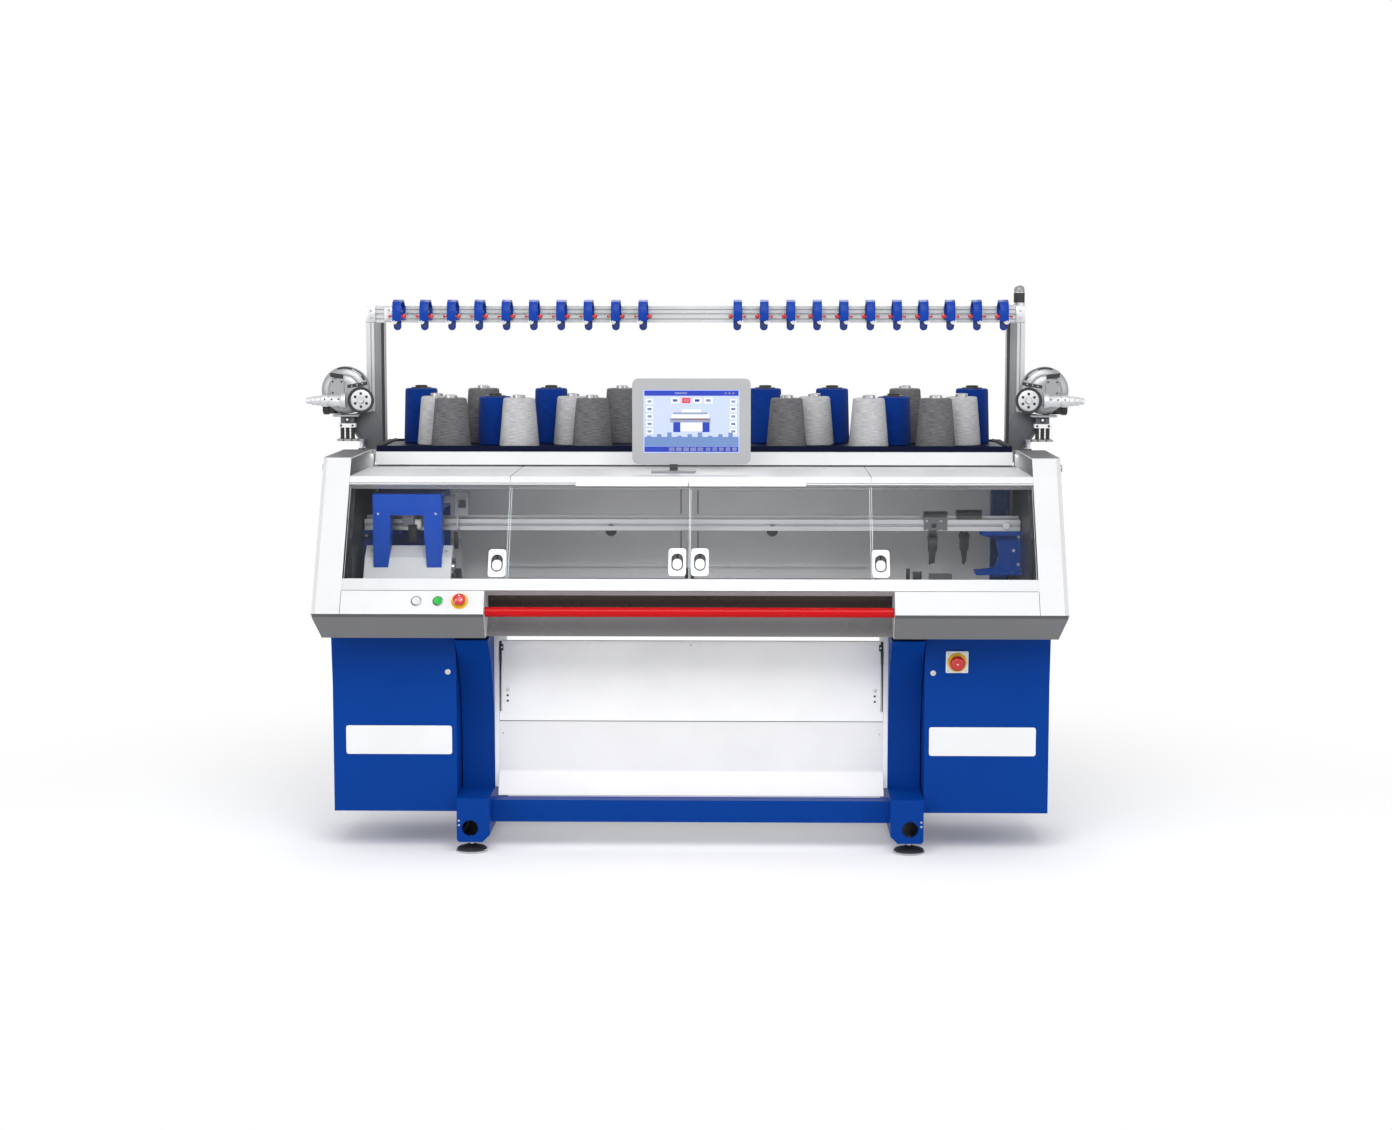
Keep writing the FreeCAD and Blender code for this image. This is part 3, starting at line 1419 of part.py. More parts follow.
SHOE = "bed_foot_z + guide_height + fit_gap"
RUN = "bed_thick + cam_clearance"
SHOE_ALONG = f"({SHOE} - bed_foot_z) / sin(bed_angle) - ({RUN}) / tan(bed_angle)"
CROWN = slope_point("cam_crown_along", "cam_crown")
SHOULDER = slope_point("cam_reach", "cam_rise")
ACROSS = ("-cam_half", "cam_half")
cam_box = [
    ("cam_front", SHOE),
    (slope_point(SHOE_ALONG, RUN)[0], SHOE),
    slope_point("cam_reach", RUN),
    SHOULDER,
    CROWN,
    ("cam_front", "cam_front_z"),
]
cam_boxes = []
for name, outline in (("front", cam_box), ("rear", behind(cam_box))):
    box = new_body(f"cam_box_{name}", "carriage_x")
    pad(box, "YZ_Plane", outline, "2 * cam_half", both_ways=True)
    cam_boxes.append(box)
parts.append(group("cam_boxes", cam_boxes))

COVER_SEAT = (f"{CROWN[0]}", f"{CROWN[1]} + fit_gap")
cover_front = [
    ("cover_toe_y", "cam_front_z + fit_gap"),
    ("cover_fold_y", "cover_fold_z"),
    ("cover_ridge_y", "cover_ridge_z"),
    COVER_SEAT,
    ("cam_front", "cam_front_z + fit_gap"),
]
cover_rear = [
    ("rear_toe_y", "cam_front_z + fit_gap"),
    ("rear_toe_y", "rear_toe_z"),
    ("2 * gap_line - cover_fold_y", "cover_fold_z"),
    ("2 * gap_line - cover_ridge_y", "cover_ridge_z"),
    behind([COVER_SEAT])[0],
    ("2 * gap_line - cam_front", "cam_front_z + fit_gap"),
]
cam_covers = []
for name, outline in (("front", cover_front), ("rear", cover_rear)):
    shell = new_body(f"cam_cover_{name}", "carriage_x")
    pad(shell, "YZ_Plane", outline, "2 * cam_half", both_ways=True)
    hollow(shell, "sheet_wall", lambda face: abs(face.normalAt(0, 0).x) < 0.1
           and face.CenterOfMass.z < value(CROWN[1])
           and abs(face.CenterOfMass.y - value("gap_line")) < value("gap_line - cover_toe_y")
           and near(abs(face.normalAt(0, 0).z), "1") or (
               abs(face.normalAt(0, 0).x) < 0.1
               and near(face.CenterOfMass.z, f"({CROWN[1]} + cam_front_z) / 2 + fit_gap")))
    cam_covers.append(shell)
parts.append(group("cam_covers", cam_covers))

# The blue bridge that joins the front and rear cam boxes over the yarn rails.
hood = new_body("carriage_hood", "carriage_x")
HOOD_DEPTH = "hood_back - hood_y"
pad(hood, "XZ_Plane", [
    ("-hood_half", "hood_skirt"),
    ("hood_half", "hood_skirt"),
    ("hood_half", "hood_top"),
    ("-hood_half", "hood_top"),
], HOOD_DEPTH, offset="-hood_y", reverse=True)
LEG_FOOT = "cam_front_z + fit_gap"
leg_outline = [
    ("-hood_half", "hood_skirt + hood_wall"),
    ("-hood_half", LEG_FOOT),
    ("hood_leg - hood_half", LEG_FOOT),
    ("hood_leg_top - hood_half", "hood_knee"),
    ("hood_leg_top - hood_half", "hood_arch"),
    ("hood_half - hood_leg_top", "hood_arch"),
    ("hood_half - hood_leg_top", "hood_knee"),
    ("hood_half - hood_leg", LEG_FOOT),
    ("hood_half", LEG_FOOT),
    ("hood_half", "hood_skirt + hood_wall"),
]
pad(hood, "XZ_Plane", leg_outline, "hood_leg_depth", offset="-hood_y", reverse=True)
REAR_FOOT = f"{SHOULDER[1]} + fit_gap"
pad(hood, "XZ_Plane", [
    ("-hood_half", REAR_FOOT),
    ("hood_half", REAR_FOOT),
    ("hood_half", "hood_skirt + hood_wall"),
    ("-hood_half", "hood_skirt + hood_wall"),
], "hood_wall", offset="hood_wall - hood_back", reverse=True)
# hollow of the bridge, then the open backs of the two legs
pocket(hood, "XZ_Plane", [
    ("hood_wall - hood_half", "hood_arch"),
    ("hood_half - hood_wall", "hood_arch"),
    ("hood_half - hood_wall", "hood_top - hood_wall"),
    ("hood_wall - hood_half", "hood_top - hood_wall"),
], f"{HOOD_DEPTH} - 2 * hood_wall", offset="-(hood_y + hood_wall)", reverse=False)
for sign in (-1, 1):
    pocket(hood, "XZ_Plane", sided(sign, [
        ("hood_half - hood_leg + hood_wall", LEG_FOOT),
        ("hood_half - hood_wall", LEG_FOOT),
        ("hood_half - hood_wall", "hood_skirt + hood_wall"),
        ("hood_half - hood_leg_top + hood_wall", "hood_skirt + hood_wall"),
        ("hood_half - hood_leg_top + hood_wall", "hood_knee"),
    ]), "hood_leg_depth", offset="-(hood_y + hood_wall)", reverse=False)
# the legs end on the slope of the front cover
pocket(hood, "YZ_Plane", [
    ("cover_toe_y", "cam_front_z"),
    ("cover_toe_y", "cam_front_z + 2 * fit_gap"),
    ("cover_fold_y", "cover_fold_z + 2 * fit_gap"),
    ("cover_ridge_y", "cover_ridge_z + 2 * fit_gap"),
    ("cover_ridge_y", "cam_front_z"),
], "4 * hood_half", both_ways=True)
parts.append(hood)

sensor = new_body("carriage_sensor", "carriage_x")
pad(sensor, "XZ_Plane", [
    ("sensor_start", "sensor_bottom"),
    ("sensor_end", "sensor_bottom"),
    ("sensor_end", "hood_top"),
    ("sensor_start", "hood_top"),
], "sensor_depth", offset="-sensor_y", reverse=True)
pad(sensor, "XZ_Plane", [
    ("hood_half", "sensor_arm_z"),
    ("sensor_start + hood_wall", "sensor_arm_z"),
    ("sensor_start + hood_wall", "sensor_arm_z + sensor_arm_height"),
    ("hood_half", "sensor_arm_z + sensor_arm_height"),
], "sensor_arm_height", offset="-(sensor_y + hood_wall)", reverse=True)
parts.append(sensor)

# ---------------------------------------------------------------- carrier rails and carriers

rails = []
for name, front, height in (("front", "rail_front_y", "rail_height"),
                            ("rear", "rail_rear_y", "rail_rear_height")):
    middle = f"rails_bottom + {height} / 2"
    rails.append(bar(f"carrier_rail_{name}", [
        (front, "rails_bottom"),
        (f"{front} + rail_depth", "rails_bottom"),
        (f"{front} + rail_depth", f"{middle} - rail_groove"),
        (f"{front} + rail_depth - rail_groove", middle),
        (f"{front} + rail_depth", f"{middle} + rail_groove"),
        (f"{front} + rail_depth", f"rails_bottom + {height}"),
        (front, f"rails_bottom + {height}"),
        (front, f"{middle} + rail_groove"),
        (f"{front} + rail_groove", middle),
        (front, f"{middle} - rail_groove"),
    ], ("-rails_half", "rails_half")))
parts.append(group("carrier_rails", rails))

brackets = []
for side, sign in SIDES:
    bracket = new_body(f"rail_bracket_{side}")
    pad(bracket, "XZ_Plane", sided(sign, [
        ("bracket_inner", "rails_bottom"),
        ("bed_half_length", "rails_bottom"),
        ("bed_half_length", "bracket_toe_z - bracket_base"),
        ("bracket_toe", "bracket_toe_z - bracket_base"),
        ("bracket_toe", "bracket_toe_z"),
        ("bracket_neck - bracket_base", "bracket_toe_z + bracket_base"),
        ("bracket_neck", "bracket_neck_z"),
        ("bracket_neck - bracket_base", "rails_bottom - 2 * bracket_flange"),
        ("bracket_inner", "rails_bottom - bracket_flange"),
    ]), "bracket_web", offset="-gap_line", both_ways=True)
    for low, high, inner in (
            ("rails_bottom - bracket_flange", "rails_bottom", "bracket_inner"),
            ("bracket_toe_z - bracket_base", "bracket_toe_z", "bracket_toe")):
        pad(bracket, "XZ_Plane", sided(sign, [
            (inner, low),
            ("bed_half_length", low),
            ("bed_half_length", high),
            (inner, high),
        ]), "bracket_depth", offset="-gap_line", both_ways=True)
    brackets.append(bracket)
parts.append(group("rail_brackets", brackets))


def carrier(label, x, width, front, height, sign):
    """A yarn carrier riding on one rail, with its finger down by the needle gap."""
    body = new_body(label, x)
    low = f"{front} - carrier_wall" if sign > 0 else "gap_line + finger_gap"
    high = "gap_line - finger_gap" if sign > 0 else f"{front} + rail_depth + carrier_wall"
    pad(body, "YZ_Plane", [
        (low, "carrier_bottom"),
        (high, "carrier_bottom"),
        (high, "carrier_top - finger_width"),
        (f"{high} - finger_width", "carrier_top"),
        (f"{low} + finger_width", "carrier_top"),
        (low, "carrier_top - finger_width"),
    ], width)
    pocket(body, "YZ_Plane", [
        (f"{front} - fit_gap", "rails_bottom"),
        (f"{front} + rail_depth + fit_gap", "rails_bottom"),
        (f"{front} + rail_depth + fit_gap", f"rails_bottom + {height} + fit_gap"),
        (f"{front} - fit_gap", f"rails_bottom + {height} + fit_gap"),
    ], f"4 * ({width})", both_ways=True)
    start = "gap_line - finger_gap - finger_thick" if sign > 0 else "gap_line + finger_gap"
    pad(body, "YZ_Plane", [
        (start, "finger_bottom"),
        (f"{start} + finger_thick", "finger_bottom"),
        (f"{start} + finger_thick", "carrier_bottom + finger_width"),
        (start, "carrier_bottom + finger_width"),
    ], "finger_width", offset="finger_inset")
    return body


parts.append(carrier("carrier_a", "carrier_a_x", "carrier_a_width", "rail_front_y",
                     "rail_height", 1))
parts.append(carrier("carrier_b", "carrier_b_x", "carrier_b_width", "rail_rear_y",
                     "rail_rear_height", -1))

# ---------------------------------------------------------------- side yarn feeders

feeders = []
for side, sign in SIDES:
    bracket = new_body(f"feeder_bracket_{side}")
    pad(bracket, "XZ_Plane", sided(sign, [
        ("upright_inner", "apron_top"),
        ("upright_inner + feeder_plate_half", "apron_top"),
        ("feeder_wheel_x", "feeder_bracket_z"),
        ("feeder_wheel_x - feeder_wheel_radius", "feeder_bracket_z"),
        ("upright_inner", "apron_top + feeder_bracket_rise"),
    ]), "feeder_bracket_thick", offset="-feeder_back", reverse=True)
    feeders.append(bracket)

    head = new_body(f"feeder_head_{side}", f"{sign} * feeder_x", "feeder_back", "feeder_z",
                    (1, 0, 0), "90")
    boss(head, "XY_Plane", "0", "0", "feeder_radius", "feeder_depth * 0.4")
    boss(head, "XY_Plane", "0", "0", "feeder_radius * 0.93", "feeder_depth * 0.6")
    boss(head, "XY_Plane", "0", "0", "feeder_radius * 0.98", "feeder_depth * 0.2",
         offset="feeder_depth * 0.6")
    boss(head, "XY_Plane", "0", "0", "feeder_radius * 0.67", "feeder_depth * 0.2",
         offset="feeder_depth * 0.8")
    feeders.append(head)

    body = new_body(f"feeder_body_{side}")
    body_y = "feeder_back - feeder_depth / 2"
    pad(body, "XZ_Plane", sided(sign, [
        ("feeder_wheel_x - feeder_plate_half", "feeder_plate_z"),
        ("feeder_x + feeder_plate_half", "feeder_plate_z"),
        ("feeder_x + feeder_plate_half", "feeder_plate_z + feeder_plate_thick"),
        ("feeder_wheel_x - feeder_plate_half", "feeder_plate_z + feeder_plate_thick"),
    ]), "feeder_depth", offset="-feeder_back")
    boss(body, "YZ_Plane", body_y, "feeder_body_z", "feeder_body_radius",
         "2 * feeder_plate_half", offset=f"{sign} * feeder_x", both_ways=True)
    boss(body, "YZ_Plane", body_y, "feeder_body_z", "feeder_body_radius / 2",
         "feeder_nozzle_length", offset=f"{sign} * (feeder_x + feeder_nozzle_length / 2)",
         both_ways=True)
    boss(body, "XY_Plane", f"{sign} * feeder_x", body_y, "feeder_post_radius",
         "feeder_base_drop", offset="feeder_base_z")
    boss(body, "XY_Plane", f"{sign} * feeder_x", body_y, "feeder_base_radius",
         "feeder_plate_thick", offset="feeder_base_z")
    feeders.append(body)

    parts.append(turned(f"feeder_wheel_{side}", [
        ("0", "0"),
        ("feeder_wheel_radius", "0"),
        ("feeder_wheel_radius", "feeder_plate_thick"),
        ("feeder_wheel_radius * 0.84", "feeder_plate_thick"),
        ("feeder_wheel_radius * 0.76", "feeder_plate_thick / 2"),
        ("journal_radius", "feeder_plate_thick / 2"),
        ("journal_radius", "feeder_plate_thick * 2"),
        ("0", "feeder_plate_thick * 2"),
    ], f"{sign} * feeder_wheel_x", "feeder_y - fit_gap", "feeder_wheel_z", (1, 0, 0), "90"))
parts.append(group("side_feeders", feeders))

# ---------------------------------------------------------------- check and export

doc.recompute()
os.makedirs("parts", exist_ok=True)
faults = []
for item in doc.Objects:
    if "Invalid" in item.State or "Error" in item.State:
        faults.append(f"{item.Label}: {item.State}")
for part in parts:
    shape = part.Shape
    if shape.isNull() or not shape.isValid() or shape.Volume < 1:
        faults.append(f"{part.Label}: bad shape")
if faults:
    raise RuntimeError("; ".join(faults))
for part in parts:
    part.Shape.exportStep(f"parts/{part.Label}.step")
print(len(parts), "sub-parts exported")
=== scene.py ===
import bpy
import bmesh
from math import atan2, copysign, cos, pi, radians, sin
from mathutils import Matrix, Vector


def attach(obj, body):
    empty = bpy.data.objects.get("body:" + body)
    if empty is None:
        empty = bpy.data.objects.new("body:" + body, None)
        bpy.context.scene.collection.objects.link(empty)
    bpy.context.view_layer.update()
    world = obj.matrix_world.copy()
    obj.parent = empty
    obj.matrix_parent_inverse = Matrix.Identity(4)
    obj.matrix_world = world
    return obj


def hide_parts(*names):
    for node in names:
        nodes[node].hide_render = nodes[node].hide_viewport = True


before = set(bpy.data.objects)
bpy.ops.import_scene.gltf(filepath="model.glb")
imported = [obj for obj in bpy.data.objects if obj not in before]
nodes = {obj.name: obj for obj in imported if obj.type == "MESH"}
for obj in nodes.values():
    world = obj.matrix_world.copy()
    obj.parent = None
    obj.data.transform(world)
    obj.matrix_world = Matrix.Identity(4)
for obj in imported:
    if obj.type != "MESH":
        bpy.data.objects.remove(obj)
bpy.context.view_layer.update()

# The studio: a pale floor that keeps the soft shadow of the machine, a white surround and four
# large soft lamps. The camera stands nine metres in front, at head height, and looks slightly down.
CAMERA_PLACE = (0.194, -9.2753, 2.008)
CAMERA_TURN = (radians(83.73), 0, radians(1.12))
LAMPS = (
    ("lamp_above", (0.1, -4.6, 4.9), (0, 0, 0.9), 3.6, 214),
    ("lamp_left", (-5.2, -4.2, 2.4), (0, 0, 0.9), 2.6, 70),
    ("lamp_right", (5.4, -3.6, 2.4), (0, 0, 0.9), 2.6, 46),
    ("lamp_behind", (0.0, 5.0, 4.2), (0, 0, 1.2), 3.0, 90),
)
SKY_STRENGTH = 0.58
FLOOR_HALF = 40
SHADOW_REACH = 1.8
WHITE_FROM = 3.6


def placed(name, data):
    """A new object in the scene."""
    obj = bpy.data.objects.new(name, data)
    bpy.context.scene.collection.objects.link(obj)
    return obj


def set_sockets(node, sockets):
    """Sets each socket to a value, or feeds it from another node's output."""
    for socket, value in sockets.items():
        if isinstance(value, bpy.types.NodeSocket):
            node.id_data.links.new(value, node.inputs[socket])
        else:
            node.inputs[socket].default_value = value
    return node


def shader_node(tree, kind, sockets=None, **settings):
    """A new shader node with its settings and its sockets."""
    node = tree.nodes.new("ShaderNode" + kind)
    for name, value in settings.items():
        setattr(node, name, value)
    return set_sockets(node, sockets or {})


def shows_background(tree):
    """One for rays that see the background: from the camera, in a reflection, or through a clear sheet."""
    rays = tree.nodes.new("ShaderNodeLightPath").outputs
    level = rays["Is Camera Ray"]
    for kind in ("Is Glossy Ray", "Is Transmission Ray"):
        level = shader_node(tree, "Math", {0: level, 1: rays[kind]}, operation="MAXIMUM").outputs[0]
    return level


camera_sheet = bpy.data.cameras.new("camera")
camera_sheet.lens = 64.66
camera_sheet.sensor_width = 36
camera = placed("camera", camera_sheet)
camera.location = CAMERA_PLACE
camera.rotation_euler = CAMERA_TURN
bpy.context.scene.camera = camera
bpy.context.scene.view_settings.view_transform = "Standard"

surround = bpy.data.worlds.new("surround")
surround.use_nodes = True
bpy.context.scene.world = surround
sky = surround.node_tree
lighting = set_sockets(sky.nodes["Background"], {"Color": (0.98, 0.985, 1.0, 1), "Strength": SKY_STRENGTH})
white_sky = shader_node(sky, "Background", {"Color": (1, 1, 1, 1)})
pick = shader_node(sky, "MixShader", {
    "Fac": shows_background(sky), 1: lighting.outputs[0], 2: white_sky.outputs[0]})
set_sockets(sky.nodes["World Output"], {"Surface": pick.outputs[0]})

for name, place, aim, width, power in LAMPS:
    sheet = bpy.data.lights.new(name, "AREA")
    sheet.size = width
    sheet.energy = power
    lamp = placed(name, sheet)
    lamp.location = place
    lamp.rotation_euler = (Vector(aim) - Vector(place)).to_track_quat("-Z", "Y").to_euler()

floor_finish = bpy.data.materials.new("studio_floor")
floor_finish.use_nodes = True
tree = floor_finish.node_tree
matt = set_sockets(tree.nodes["Principled BSDF"], {
    "Base Color": (0.86, 0.86, 0.86, 1), "Roughness": 0.9, "Specular IOR Level": 0.0}).outputs[0]
lift = shader_node(tree, "Emission", {"Strength": 0.16})
lifted = shader_node(tree, "AddShader", {0: matt, 1: lift.outputs[0]})
where = tree.nodes.new("ShaderNodeTexCoord")
away = shader_node(tree, "VectorMath", {0: where.outputs["Object"]}, operation="LENGTH")
rim = shader_node(tree, "MapRange", {
    "Value": away.outputs["Value"], "From Min": SHADOW_REACH, "From Max": WHITE_FROM,
}, interpolation_type="SMOOTHSTEP")
faded = shader_node(tree, "MixShader", {
    "Fac": rim.outputs["Result"], 1: lifted.outputs[0], 2: shader_node(tree, "Emission").outputs[0]})
shown = shader_node(tree, "MixShader", {"Fac": shows_background(tree), 1: matt, 2: faded.outputs[0]})
set_sockets(tree.nodes["Material Output"], {"Surface": shown.outputs[0]})
floor_shape = bmesh.new()
bmesh.ops.create_grid(floor_shape, x_segments=8, y_segments=8, size=FLOOR_HALF)
floor_mesh = bpy.data.meshes.new("studio_floor")
floor_shape.to_mesh(floor_mesh)
floor_shape.free()
floor_mesh.materials.append(floor_finish)
studio_floor = placed("studio_floor", floor_mesh)

# The blue frame: foot beams, swept legs and crossbars are welded steel, powder coated in a satin
# cobalt blue, like the sheet cabinets. Rubber pads lie between the legs and the housing.
COBALT = (0.001, 0.043, 0.27)


def new_skin(name, *more):
    """A shader group that turns a plain colour, roughness and relief into a surface, and its two ends."""
    group = bpy.data.node_groups.new(name, "ShaderNodeTree")
    for label, kind, value in (
        ("Colour", "Color", (0.5, 0.5, 0.5, 1)), ("Roughness", "Float", 0.4), ("Relief", "Float", 0.3), *more,
    ):
        socket = group.interface.new_socket(name=label, in_out="INPUT", socket_type="NodeSocket" + kind)
        socket.default_value = value
    for label, kind in (("Colour", "Color"), ("Roughness", "Float"), ("Normal", "Vector")):
        group.interface.new_socket(name=label, in_out="OUTPUT", socket_type="NodeSocket" + kind)
    return group, group.nodes.new("NodeGroupInput").outputs, group.nodes.new("NodeGroupOutput")


def skin_group(name, stretch, grain, mottle, bump_height):
    """Mottled colour, uneven gloss and a fine relief, read in the object's own coordinates."""
    group, given, result = new_skin(name)
    place = group.nodes.new("ShaderNodeTexCoord").outputs["Object"]
    spread = shader_node(group, "Mapping", {"Vector": place, "Scale": stretch})
    fine = shader_node(group, "TexNoise", {"Vector": spread.outputs["Vector"], "Scale": grain, "Detail": 3})
    broad = shader_node(group, "TexNoise", {"Vector": place, "Scale": 5, "Detail": 4}).outputs["Fac"]
    shade = shader_node(group, "MapRange", {
        "Value": broad, "From Min": 0.3, "From Max": 0.7, "To Min": 1 - mottle, "To Max": 1})
    tint = shader_node(group, "Mix", {
        "Factor": 1, "A": given["Colour"], "B": shade.outputs["Result"],
    }, data_type="RGBA", blend_type="MULTIPLY")
    gloss = shader_node(group, "Math", {0: broad, 1: 0.12, 2: given["Roughness"]}, operation="MULTIPLY_ADD")
    relief = shader_node(group, "Bump", {
        "Strength": given["Relief"], "Distance": bump_height, "Height": fine.outputs["Fac"]})
    set_sockets(result, {
        "Colour": tint.outputs["Result"], "Roughness": gloss.outputs[0], "Normal": relief.outputs["Normal"]})
    return group


def finish(name, group, colour, roughness, relief=0.3, metallic=0.0, coat=0.0, specular=0.5):
    """A finish whose colour, gloss and relief come from a shared skin."""
    made = bpy.data.materials.new(name)
    made.use_nodes = True
    skin = shader_node(made.node_tree, "Group", {
        "Colour": (*colour, 1), "Roughness": roughness, "Relief": relief,
    }, node_tree=group, name="skin").outputs
    set_sockets(made.node_tree.nodes["Principled BSDF"], {
        "Metallic": metallic, "Coat Weight": coat, "Specular IOR Level": specular,
        "Base Color": skin["Colour"], "Roughness": skin["Roughness"], "Normal": skin["Normal"]})
    return made


def coat_nodes(made, *names):
    """Gives solids that are right as they are a better finish."""
    for name in names:
        nodes[name].material_slots[0].material = made


powder_coat = skin_group("powder_coat", (1, 1, 1), 700, 0.05, 0.0002)
blue_paint = finish("blue_paint", powder_coat, COBALT, 0.34, specular=0.07)
rubber_skin = skin_group("rubber_skin", (1, 1, 1), 260, 0.25, 0.0006)
black_rubber = finish("black_rubber", rubber_skin, (0.018, 0.018, 0.02), 0.62)
coat_nodes(blue_paint, "feet", "legs", "crossbars", "cabinets", "cabinet_door_left", "cabinet_door_right")
coat_nodes(black_rubber, "leg_pads")

# The levelling feet: a black moulded pad in a steel rim on a threaded spindle, screwed up into
# the foot beam, with a lock nut. Two small cap screws hold the foot beam beside its round opening.
FRONT_OF_FEET = 0.5033
FOOT_X = 786
FOOT_DEPTHS = (59, 841)
FOOT_RIM = ((0, 0.2), (54, 0.2), (58, 2), (58, 7), (55, 9), (0, 9))
FOOT_PAD = ((0, 9.2), (53, 9.2), (53, 13), (46, 17), (24, 22), (14, 27), (0, 27))
FOOT_SPINDLE = (8, 27, 56, 24)
FOOT_NUT = (15, 35, 43.9, 6)
FRONT = (0, -1, 0)
SHARP_FROM = radians(40)
SMOOTH_BELOW = radians(32)
machined = skin_group("machined", (3, 90, 90), 30, 0.10, 0.0001)
steel = finish("steel", machined, (0.60, 0.60, 0.61), 0.26, 0.15, metallic=1)


def at(x, y, z):
    """A place in metres, from millimetres counted from the front face of the foot beams."""
    return Vector((x / 1000, y / 1000 - FRONT_OF_FEET, z / 1000))


def linked(verts):
    """Every vertex joined to these ones."""
    found = set(verts)
    front = list(verts)
    while front:
        vert = front.pop()
        for edge in vert.link_edges:
            other = edge.other_vert(vert)
            if other not in found:
                found.add(other)
                front.append(other)
    return list(found)


def soften(bm, verts, width, steps=2):
    """Rounds the sharp edges of what was just made."""
    edges = {edge for vert in verts for edge in vert.link_edges}
    edges = [edge for edge in edges if edge.is_manifold and edge.calc_face_angle() > SHARP_FROM]
    bevelled = bmesh.ops.bevel(
        bm, geom=edges, offset=width / 1000, affect="EDGES", segments=steps, profile=0.5, material=-1
    )
    return linked(bevelled["verts"])


def painted_with(verts, index):
    """Gives the faces of what was just made one of the piece's finishes."""
    for vert in verts:
        for face in vert.link_faces:
            face.material_index = index


def rod(bm, start, end, radius, edge=0, index=0, sides=24):
    """A round bar between two places."""
    run = end - start
    turn = run.to_track_quat("Z", "Y").to_matrix().to_4x4()
    made = bmesh.ops.create_cone(
        bm, cap_ends=True, segments=sides, radius1=radius / 1000, radius2=radius / 1000,
        depth=run.length, matrix=Matrix.Translation((start + end) / 2) @ turn,
    )["verts"]
    painted_with(made, index)
    if edge:
        soften(bm, made, edge)


def turned(bm, outline, base, axis=(0, 0, 1), index=0, sides=32):
    """A turned piece: pairs of radius and height spun about an axis through its base."""
    points = [bm.verts.new((radius / 1000, 0, height / 1000)) for radius, height in outline]
    rail = [bm.edges.new(pair) for pair in zip(points, points[1:])]
    bmesh.ops.spin(
        bm, geom=points + rail, cent=(0, 0, 0), axis=(0, 0, 1), dvec=(0, 0, 0),
        angle=2 * pi, steps=sides, use_merge=True, use_duplicate=False,
    )
    bmesh.ops.remove_doubles(bm, verts=linked(points), dist=0.00001)
    made = linked([vert for vert in points if vert.is_valid])
    turn = Vector(axis).to_track_quat("Z", "Y").to_matrix().to_4x4()
    bmesh.ops.transform(bm, matrix=Matrix.Translation(base) @ turn, verts=made)
    painted_with(made, index)
    return made


def screw(bm, seat, out, radius, index, height=2.0):
    """A pan head with a socket in it, on a surface that faces out."""
    turned(bm, ((0, -0.3), (radius, -0.3), (radius, height * 0.5), (radius * 0.8, height),
                (radius * 0.45, height), (radius * 0.4, height * 0.3), (0, height * 0.3)),
           seat, out, index, 16)


def piece(name, bm, finishes, body, replaced=()):
    """A finished piece: closed, smooth between its edges, and carried by one moving body."""
    bmesh.ops.recalc_face_normals(bm, faces=bm.faces)
    mesh = bpy.data.meshes.new(name)
    bm.to_mesh(mesh)
    bm.free()
    for made in finishes:
        mesh.materials.append(made)
    mesh.shade_smooth()
    mesh.set_sharp_from_angle(angle=SMOOTH_BELOW)
    obj = placed(name, mesh)
    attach(obj, body)
    if replaced:
        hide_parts(*replaced)


feet_shape = bmesh.new()
for side in (-1, 1):
    for depth in FOOT_DEPTHS:
        turned(feet_shape, FOOT_RIM, at(side * FOOT_X, depth, 0), index=1)
        turned(feet_shape, FOOT_PAD, at(side * FOOT_X, depth, 0))
        for radius, low, high, sides in (FOOT_SPINDLE, FOOT_NUT):
            rod(feet_shape, at(side * FOOT_X, depth, low), at(side * FOOT_X, depth, high), radius,
                index=1, sides=sides)
    for height in (106, 122):
        screw(feet_shape, at(side * 826, -0.1, height), FRONT, 4, 1, 1.8)
piece("levelling_feet_detail", feet_shape, (black_rubber, steel), "frame", ("levelling_feet",))

# The cabinet doors: a quarter-turn lock near the leg and a bare white plate with round corners,
# glued on. The right door also carries the light grey plate of the main switch on its leaning part.
DOOR_LEAN = atan2(22, 185)
DOOR_OUT = Vector((0, -cos(DOOR_LEAN), -sin(DOOR_LEAN)))
DOOR_PLATE_X = 1045.5
DOOR_LOCK_X = 867
LOCK = ((0, -3), (10, -3), (10, 2.4), (8.6, 3.4), (5, 3.4), (4.4, 1.2), (0, 1.2))
white_paint = finish("white_paint", powder_coat, (0.80, 0.81, 0.82), 0.36, 0.2)
light_grey_paint = finish("light_grey_paint", powder_coat, (0.78, 0.79, 0.80), 0.36, 0.2, specular=0.3)
moulded = skin_group("moulded", (1, 1, 1), 1500, 0.05, 0.0001)
black_plastic = finish("black_plastic", moulded, (0.014, 0.014, 0.016), 0.42)


def rounded_plate(bm, width, height, thick, radius, place, edge=0, index=0):
    """A plate with round corners on a plane of its own: x across, y up, z out of its back face."""
    made = bmesh.ops.create_cube(bm, size=1, matrix=Matrix.Translation((0, 0, thick / 2000))
                                 @ Matrix.Diagonal((width / 1000, height / 1000, thick / 1000, 1)))["verts"]
    corners = {side for vert in made for side in vert.link_edges
               if (side.verts[0].co.xy - side.verts[1].co.xy).length < 1e-6}
    made = linked(bmesh.ops.bevel(bm, geom=list(corners), offset=radius / 1000, affect="EDGES", segments=6,
                                  profile=0.5, material=-1)["verts"])
    if edge:
        made = soften(bm, made, edge, 1)
    bmesh.ops.transform(bm, matrix=place, verts=made)
    painted_with(made, index)
    return made


def facing_front(x, y, z):
    """The plane of an upright plate seen from the front."""
    return Matrix.Translation(at(x, y, z)) @ Matrix.Rotation(pi / 2, 4, "X")


